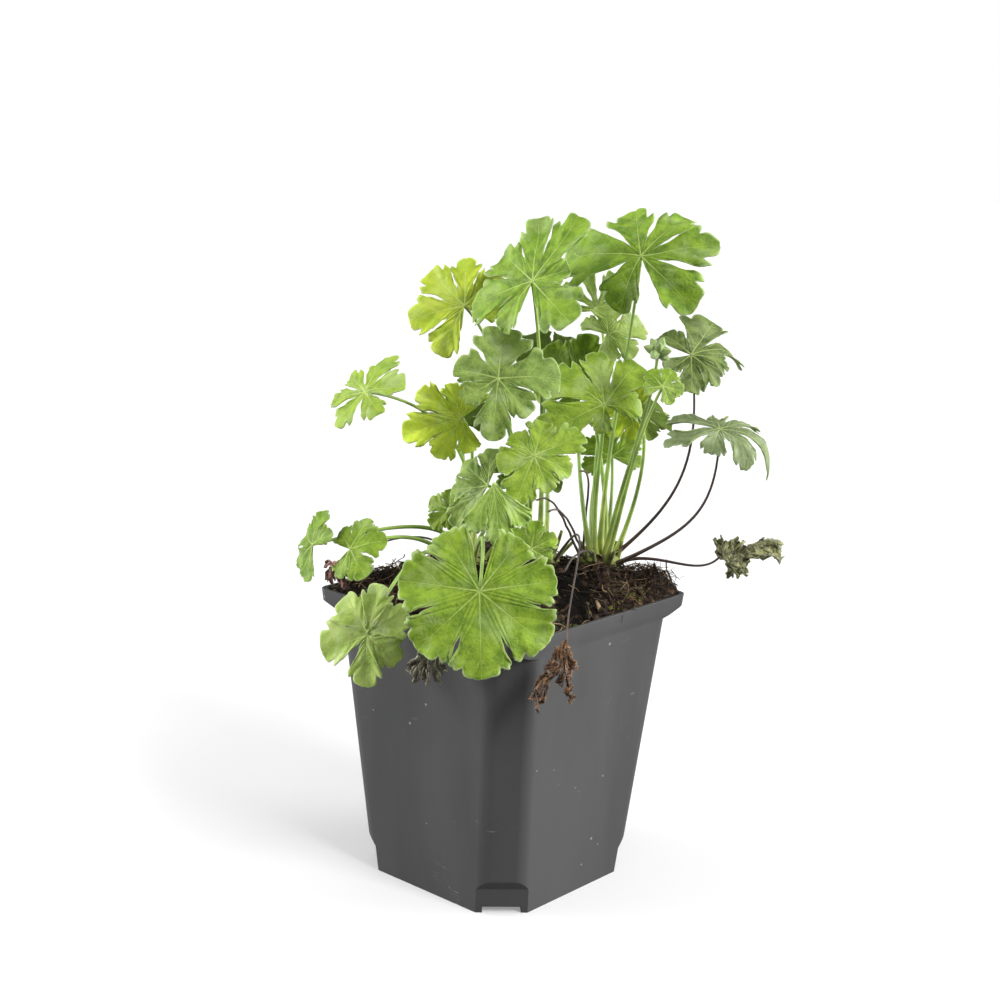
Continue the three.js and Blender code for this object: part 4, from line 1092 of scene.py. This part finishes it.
def soil_height(place, share):
    """Height of the peat at a place in the plant's frame; share is 1 at the rim and 0 in the middle."""
    height = SOIL_EDGE + SOIL_MOUND * (1 - share**3)
    for swell in SOIL_SWELLS:
        off = hypot(place.x - swell.at[0], place.y - swell.at[1])
        height += swell.height * exp(-((off / swell.spread) ** 2))
    return height


def soil_relief(place, share):
    relief = 0
    for fineness, height in CLODS:
        lump = noise.noise(Vector((place.x * fineness, place.y * fineness, fineness)))
        relief += height * lump
    return relief * (1 - share**10) + 0.5 * noise.noise(place * 0.7)


def make_peat():
    bm = bmesh.new()
    to_plant = Matrix.Rotation(-PLANT_TURN, 3, "Z")
    bare = bm.verts.layers.float.new("bare")
    for vert, u, v in sheet(bm, SOIL_CELLS, SOIL_CELLS):
        square = Vector((2 * u - 1, 2 * v - 1, 0))
        share = max(abs(square.x), abs(square.y))
        if share > 0:
            way = square.normalized()
            square = way * reach(way, SOIL_HALF, SOIL_CUT) * share
        seen = to_plant @ square
        vert.co = square + UP * (soil_height(seen, share) + soil_relief(square, share))
        vert[bare] = clamp((BARE_FROM - share) / BARE_FADE)
    bm.normal_update()
    edge = [e for e in bm.edges if e.is_boundary]
    for height, half, cut in SOIL_SKIRT:
        made = bmesh.ops.extrude_edge_only(bm, edges=edge)["geom"]
        edge = [e for e in made if isinstance(e, bmesh.types.BMEdge) and e.is_boundary]
        for vert in (v for v in made if isinstance(v, bmesh.types.BMVert)):
            way = Vector((vert.co.x, vert.co.y, 0)).normalized()
            vert.co = way * reach(way, half, cut) + UP * height
            vert[bare] = 0
    bmesh.ops.contextual_create(bm, geom=edge)
    bmesh.ops.recalc_face_normals(bm, faces=bm.faces)
    piece = settle(bm, "peat", POT_FRAME, peat_material())
    finish_piece(piece, "peat", "root_ball")
    return piece


def peat_material():
    """Damp, dark peat: brown crumbs with tan specks, and painted shade that turns its hollow
    near-black.
    """
    net = Finish("peat", Roughness=0.9, Specular_IOR_Level=0.12)
    place = net.place()
    crumbs = net.noise(place, 900.0, 5.0, 0.7)
    patches = net.noise(place, 130.0, 3.0, 0.6)
    specks = net.node("ShaderNodeTexVoronoi", place, 700.0, feature="F1", out="Color")
    grains = net.rise(net.node("ShaderNodeSeparateColor", specks), 0.86, 0.95, 0.0, 0.75)
    colour = net.mix(net.rise(crumbs, 0.38, 0.70), (0.004, 0.003, 0.002), (0.036, 0.022, 0.014))
    colour = net.mix(net.rise(patches, 0.5, 0.7, 0.0, 0.7), colour, (0.020, 0.012, 0.008))
    colour = net.mix(grains, colour, (0.17, 0.10, 0.05))
    # Painted shade: where the ground is marked hollow, the peat is near-black.
    colour = net.mix(net.mark("hollow", "Fac"), colour, (0.002, 0.0015, 0.001))
    return net.done(colour, crumbs, 1.0, 0.0009)


def strewn_material(name, dark, middle, light, roughness=0.85):
    """Crumbs, fibres or moss whose colour differs from one to the next."""
    net = Finish(name, Roughness=roughness, Specular_IOR_Level=0.3)
    tint = net.mark("tint", "Fac")
    grain = net.noise(net.place(), 1400.0, 3.0, 0.6)
    colour = net.mix(net.rise(tint, 0.0, 0.6), dark, middle)
    colour = net.mix(net.rise(tint, 0.7, 1.0), colour, light)
    colour = net.mix(net.rise(grain, 0.4, 0.7, 0.0, 0.5), colour, dark)
    return net.done(colour, grain, 0.8, 0.0004)


def crumb_shape(seed, radius):
    bm = bmesh.new()
    bmesh.ops.create_icosphere(bm, subdivisions=2, radius=radius)
    for vert in bm.verts:
        vert.co *= 1 + 0.55 * noise.noise(vert.co.normalized() * 1.6 + UP * seed * 7)
        vert.co.z *= 0.7
    return settle(bm, "crumb", POT_FRAME)


def fibre_shape(seed, length, radius, bow):
    """A bent strand that lies along its own +X, a little off the ground."""
    bm = bmesh.new()
    path = []
    for i in range(9):
        along = i / 8
        sway = noise.noise_vector(Vector((along * 2, seed * 5, 0)))
        aside = bow * sin(pi * along) + sway.y
        path.append(Vector((length * (along - 0.5), aside, 0.35 + 1.6 * bow * abs(sway.z))))
    tube(bm, path, lambda share: radius * (1 - 0.6 * share), 4)
    weld(bm)
    return settle(bm, "fibre", POT_FRAME)


def chip_shape(length, width):
    """A flat sliver of bark or dry leaf."""
    bm = bmesh.new()
    for vert, along, side in sheet(bm, 6, 2):
        wide = width * sin(pi * (0.1 + 0.8 * along)) * (side - 0.5)
        high = 0.3 + 0.6 * sin(2.4 * along) + 0.3 * abs(side - 0.5)
        vert.co = Vector((length * (along - 0.5), wide, high))
    thicken(bm, 0.25)
    weld(bm)
    return settle(bm, "chip", POT_FRAME)


def moss_shape():
    """A shoot of moss: short pointed leaves round a stem."""
    bm = bmesh.new()
    for i in range(9):
        turn = i * GOLDEN_TURN
        way = Vector((cos(turn), sin(turn), 0.6)).normalized()
        turned = way.to_track_quat("Z", "Y").to_matrix().to_4x4()
        aim = Matrix.Translation(UP * (0.12 * i) + way * 0.5) @ turned
        bmesh.ops.transform(bm, matrix=aim, verts=add_spike(bm, 0.16, 1.3))
    return settle(bm, "moss", POT_FRAME)


# A dip in the peat, in the plant's frame: crumbs thin out in it, and painted shade makes it near-black.
SHADED_HOLLOW = SimpleNamespace(
    at=(22.5, -14), half=(8.5, 23), depth=1.9, fade=1.6, raggedness=0.5, painted_shade=0.95, bareness=0.93
)
ON_TOP = 90  # height above which the peat can be hollow
MOSS_RIGHT = (12, 25)  # how far right of the middle moss starts, and over how much it thickens
MOSS_FRONT = (2, 16)  # the same towards the front
MAT_RIGHT = (30, 12)  # the same of the roots, to the right
MARKS = ("moss", "hollow", "matted")


def mark_ground(piece):
    """Where the peat has moss, a bare hollow darkened by painted shade, and a mat of roots, as
    attributes of the ground.
    """
    mesh = piece.data
    for name in MARKS:
        mesh.attributes.new(name, "FLOAT", "POINT")
    bare, moss, hollow, matted = (mesh.attributes[name].data for name in ("bare", *MARKS))
    to_plant = PLANT_FRAME.inverted()
    for i, vert in enumerate(mesh.vertices):
        seen = to_plant @ vert.co
        top = bare[i].value
        off = hypot(*((seen[axis] - SHADED_HOLLOW.at[axis]) / SHADED_HOLLOW.half[axis] for axis in (0, 1)))
        ragged = SHADED_HOLLOW.raggedness * noise.noise(vert.co * 220)
        # how far into the hollow a point lies: it sets the painted shade and thins the crumbs
        deep = clamp(SHADED_HOLLOW.depth - SHADED_HOLLOW.fade * off + ragged) * (seen.z > ON_TOP)
        front_right = ramp(seen.x, *MOSS_RIGHT) * ramp(-seen.y, *MOSS_FRONT)
        patch = clamp(2.6 * noise.noise(vert.co * 110) + 0.5)
        moss[i].value = top * front_right * patch * (1 - deep)
        bare[i].value = top * (1 - SHADED_HOLLOW.bareness * deep)
        # painted shade, near-black in the hollow
        hollow[i].value = SHADED_HOLLOW.painted_shade * deep
        matted[i].value = top * ramp(seen.x, *MAT_RIGHT)


peat = make_peat()
mark_ground(peat)
# Dark, middle and light colours.
STREWN_LOOKS = {
    "crumbs": ((0.006, 0.004, 0.003), (0.026, 0.015, 0.009), (0.1, 0.06, 0.034)),
    "fibres": ((0.012, 0.006, 0.004), (0.05, 0.026, 0.015), (0.36, 0.25, 0.13), 0.5),
    "moss": ((0.04, 0.05, 0.01), (0.16, 0.17, 0.03), (0.4, 0.37, 0.08)),
}
STREWN_FINISHES = finishes(strewn_material, "peat", STREWN_LOOKS)
# Shape, copies to the square millimetre, least and most size, lean, the mark that thins, finish.
STREWN = [
    ("peat_crumbs_fine", crumb_shape(1, 0.7), 0.17, (0.4, 1.1), pi, "bare", "crumbs"),
    ("peat_crumbs_coarse", crumb_shape(2, 1.5), 0.035, (0.5, 1.2), pi, "bare", "crumbs"),
    ("peat_fibres_short", fibre_shape(1, 6, 0.14, 1.0), 0.13, (0.5, 1.5), 0.5, "bare", "fibres"),
    ("peat_fibres_long", fibre_shape(2, 13, 0.22, 1.6), 0.03, (0.5, 1.3), 0.3, "bare", "fibres"),
    ("peat_slivers", chip_shape(7, 1.5), 0.022, (0.4, 1.2), 0.7, "bare", "fibres"),
    ("moss", moss_shape(), 0.5, (0.6, 1.2), 0.5, "moss", "moss"),
    ("peat_wisps", fibre_shape(4, 10, 0.13, 1.8), 0.4, (0.5, 1.3), 0.6, "matted", "fibres"),
]
for seed, (name, shape, density, sizes, tilt, mask, look) in enumerate(STREWN, 31):
    material = STREWN_FINISHES[look]
    strewn = scatter(name, [peat], shape, density, seed * 10, sizes, tilt, mask, material)
    finish_piece(strewn, "peat")

# ---------------------------------------------------------------- pot


SCUFFING = 0.8  # strength of scratches and specks


def scuffs(net):
    """Handling marks on a moulded surface: soft blotches, pale scratches and specks of dust."""
    place = net.place()
    blotches = net.noise(net.stretched(place, 38, 38, 9), 1.0, 4.0, 0.6)
    lines = net.noise(net.stretched(place, 60, 60, 500), 1.0)
    thin = net.rise(net.math("ABSOLUTE", net.centred(lines)), 0.0, 0.006, 1.0, 0.0)
    scratches = net.times(thin, net.rise(net.noise(place, 75.0, 3.0, 0.6), 0.64, 0.70))
    dots = net.node("ShaderNodeTexVoronoi", place, 210.0, feature="F1")
    specks = net.math("LESS_THAN", dots, net.rise(net.noise(place, 60.0), 0.56, 0.66, 0.0, 0.11))
    grain = net.noise(place, 2600.0)
    return {
        "Blotches": blotches,
        "Scratches": net.times(scratches, SCUFFING),
        "Specks": net.times(specks, SCUFFING),
        "Relief": net.plus(net.times(grain, 0.6), net.times(blotches, 0.4)),
    }


def pot_material():
    """Dark grey moulded plastic, satin, handled and a little dusty."""
    net = Finish("pot plastic", IOR=1.49, Specular_IOR_Level=0.3)
    marks = scuffs(net)
    blotchy = net.rise(marks["Blotches"], 0.3, 0.7)
    colour = net.mix(blotchy, (0.062, 0.062, 0.063), (0.075, 0.075, 0.076))
    colour = net.mix(marks["Scratches"], colour, (0.45, 0.45, 0.44))
    colour = net.mix(marks["Specks"], colour, (0.30, 0.29, 0.27))
    net.feed(net.shader["Roughness"], net.rise(marks["Blotches"], 0.3, 0.75, 0.36, 0.48))
    return net.done(colour, marks["Relief"], 0.25, 0.00015)


TALL = 0.05  # an edge that climbs more than this is one of the pot's upright ones
SHARP = radians(14)
UPRIGHT_ROUND = 0.0028
EDGE_ROUND = 0.00035


def round_off(bm, edges, radius, steps):
    bmesh.ops.bevel(
        bm, geom=edges, offset=radius, offset_type="OFFSET", segments=steps, profile=0.5,
        affect="EDGES", clamp_overlap=True, material=-1,
    )


def make_pot():
    """The pot's own solid with its edges rounded as moulding leaves them."""
    bm = bmesh.new()
    bm.from_mesh(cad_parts["pot"].data)
    bmesh.ops.remove_doubles(bm, verts=bm.verts, dist=0.00001)
    bmesh.ops.dissolve_limit(bm, angle_limit=radians(0.4), verts=bm.verts, edges=bm.edges)
    tall = [e for e in bm.edges if abs(e.verts[0].co.z - e.verts[1].co.z) > TALL]
    round_off(bm, tall, UPRIGHT_ROUND, 5)
    sharp = [e for e in bm.edges if e.is_manifold and e.calc_face_angle(0) > SHARP]
    round_off(bm, sharp, EDGE_ROUND, 2)
    piece = settle(bm, "pot_moulded", Matrix.Identity(4), pot_material())
    piece.modifiers.new("flat sides", "WEIGHTED_NORMAL").weight = 90
    finish_piece(piece, "pot_plastic", "pot")


make_pot()

# ---------------------------------------------------------------- floor, light and camera

FLOOR = 4000  # half its width
WHITE = (1, 1, 1)


def floor_material():
    """A white floor that throws back less light on the plant than it shows."""
    net = Finish("floor", Roughness=0.9, Specular_IOR_Level=0.1, Emission_Strength=0.29)
    seen = net.node("ShaderNodeLightPath", out="Is Camera Ray")
    net.feed(net.shader["Emission Color"], net.mix(seen, BLACK, WHITE))
    return net.done(net.mix(seen, (0.20, 0.20, 0.20), (0.60, 0.60, 0.60)))


def make_floor():
    bm = bmesh.new()
    bmesh.ops.create_grid(bm, x_segments=1, y_segments=1, size=FLOOR)
    settle(bm, "floor", POT_FRAME, floor_material())


def add_light(name, right, above, angle, power):
    """Soft light from far off, so many degrees to the right of the plant's front and above level."""
    lamp = bpy.data.lights.new(name, "SUN")
    lamp.angle = radians(angle)
    lamp.energy = power
    holder = bpy.data.objects.new(name, lamp)
    show(holder)
    turn, rise = radians(right), radians(above)
    source = Vector((sin(turn) * cos(rise), -cos(turn) * cos(rise), sin(rise)))
    holder.matrix_world = (PLANT_AXES @ source).to_track_quat("Z", "Y").to_matrix().to_4x4()


def set_world(light, seen):
    """A white room: light is how much it lights the plant, and seen is its own brightness."""
    world = bpy.data.worlds.new("studio")
    world.use_nodes = True
    net = Net(world.node_tree)
    camera_ray = net.node("ShaderNodeLightPath", out="Is Camera Ray")
    background = world.node_tree.nodes["Background"].inputs
    background["Color"].default_value = (*WHITE, 1)
    net.feed(background["Strength"], net.math("MULTIPLY_ADD", camera_ray, seen - light, light))
    bpy.context.scene.world = world


CAMERA_AT = (0, -593.9, 268.9)
CAMERA_YAW = -0.0039
CAMERA_PITCH = 0.2271
CAMERA_ROLL = 0.0308
LENS = 64.63


def add_camera():
    camera = bpy.data.cameras.new("camera")
    camera.lens = LENS
    holder = bpy.data.objects.new("camera", camera)
    show(holder)
    level = Euler((pi / 2 - CAMERA_PITCH, 0, -CAMERA_YAW)).to_matrix()
    look = PLANT_AXES @ (level @ Matrix.Rotation(CAMERA_ROLL, 3, "Z"))
    holder.matrix_world = Matrix.Translation(PLANT_FRAME @ Vector(CAMERA_AT)) @ look.to_4x4()
    bpy.context.scene.camera = holder


make_floor()
add_light("key", 47, 36, 20, 2.5)
add_light("top", 0, 84, 80, 1.3)
add_light("left softbox", -97, 1, 46, 8.0)
add_light("right softbox", 98, 3, 46, 5.8)
set_world(0.19, 1.0)
add_camera()
bpy.context.scene.view_settings.view_transform = "Standard"
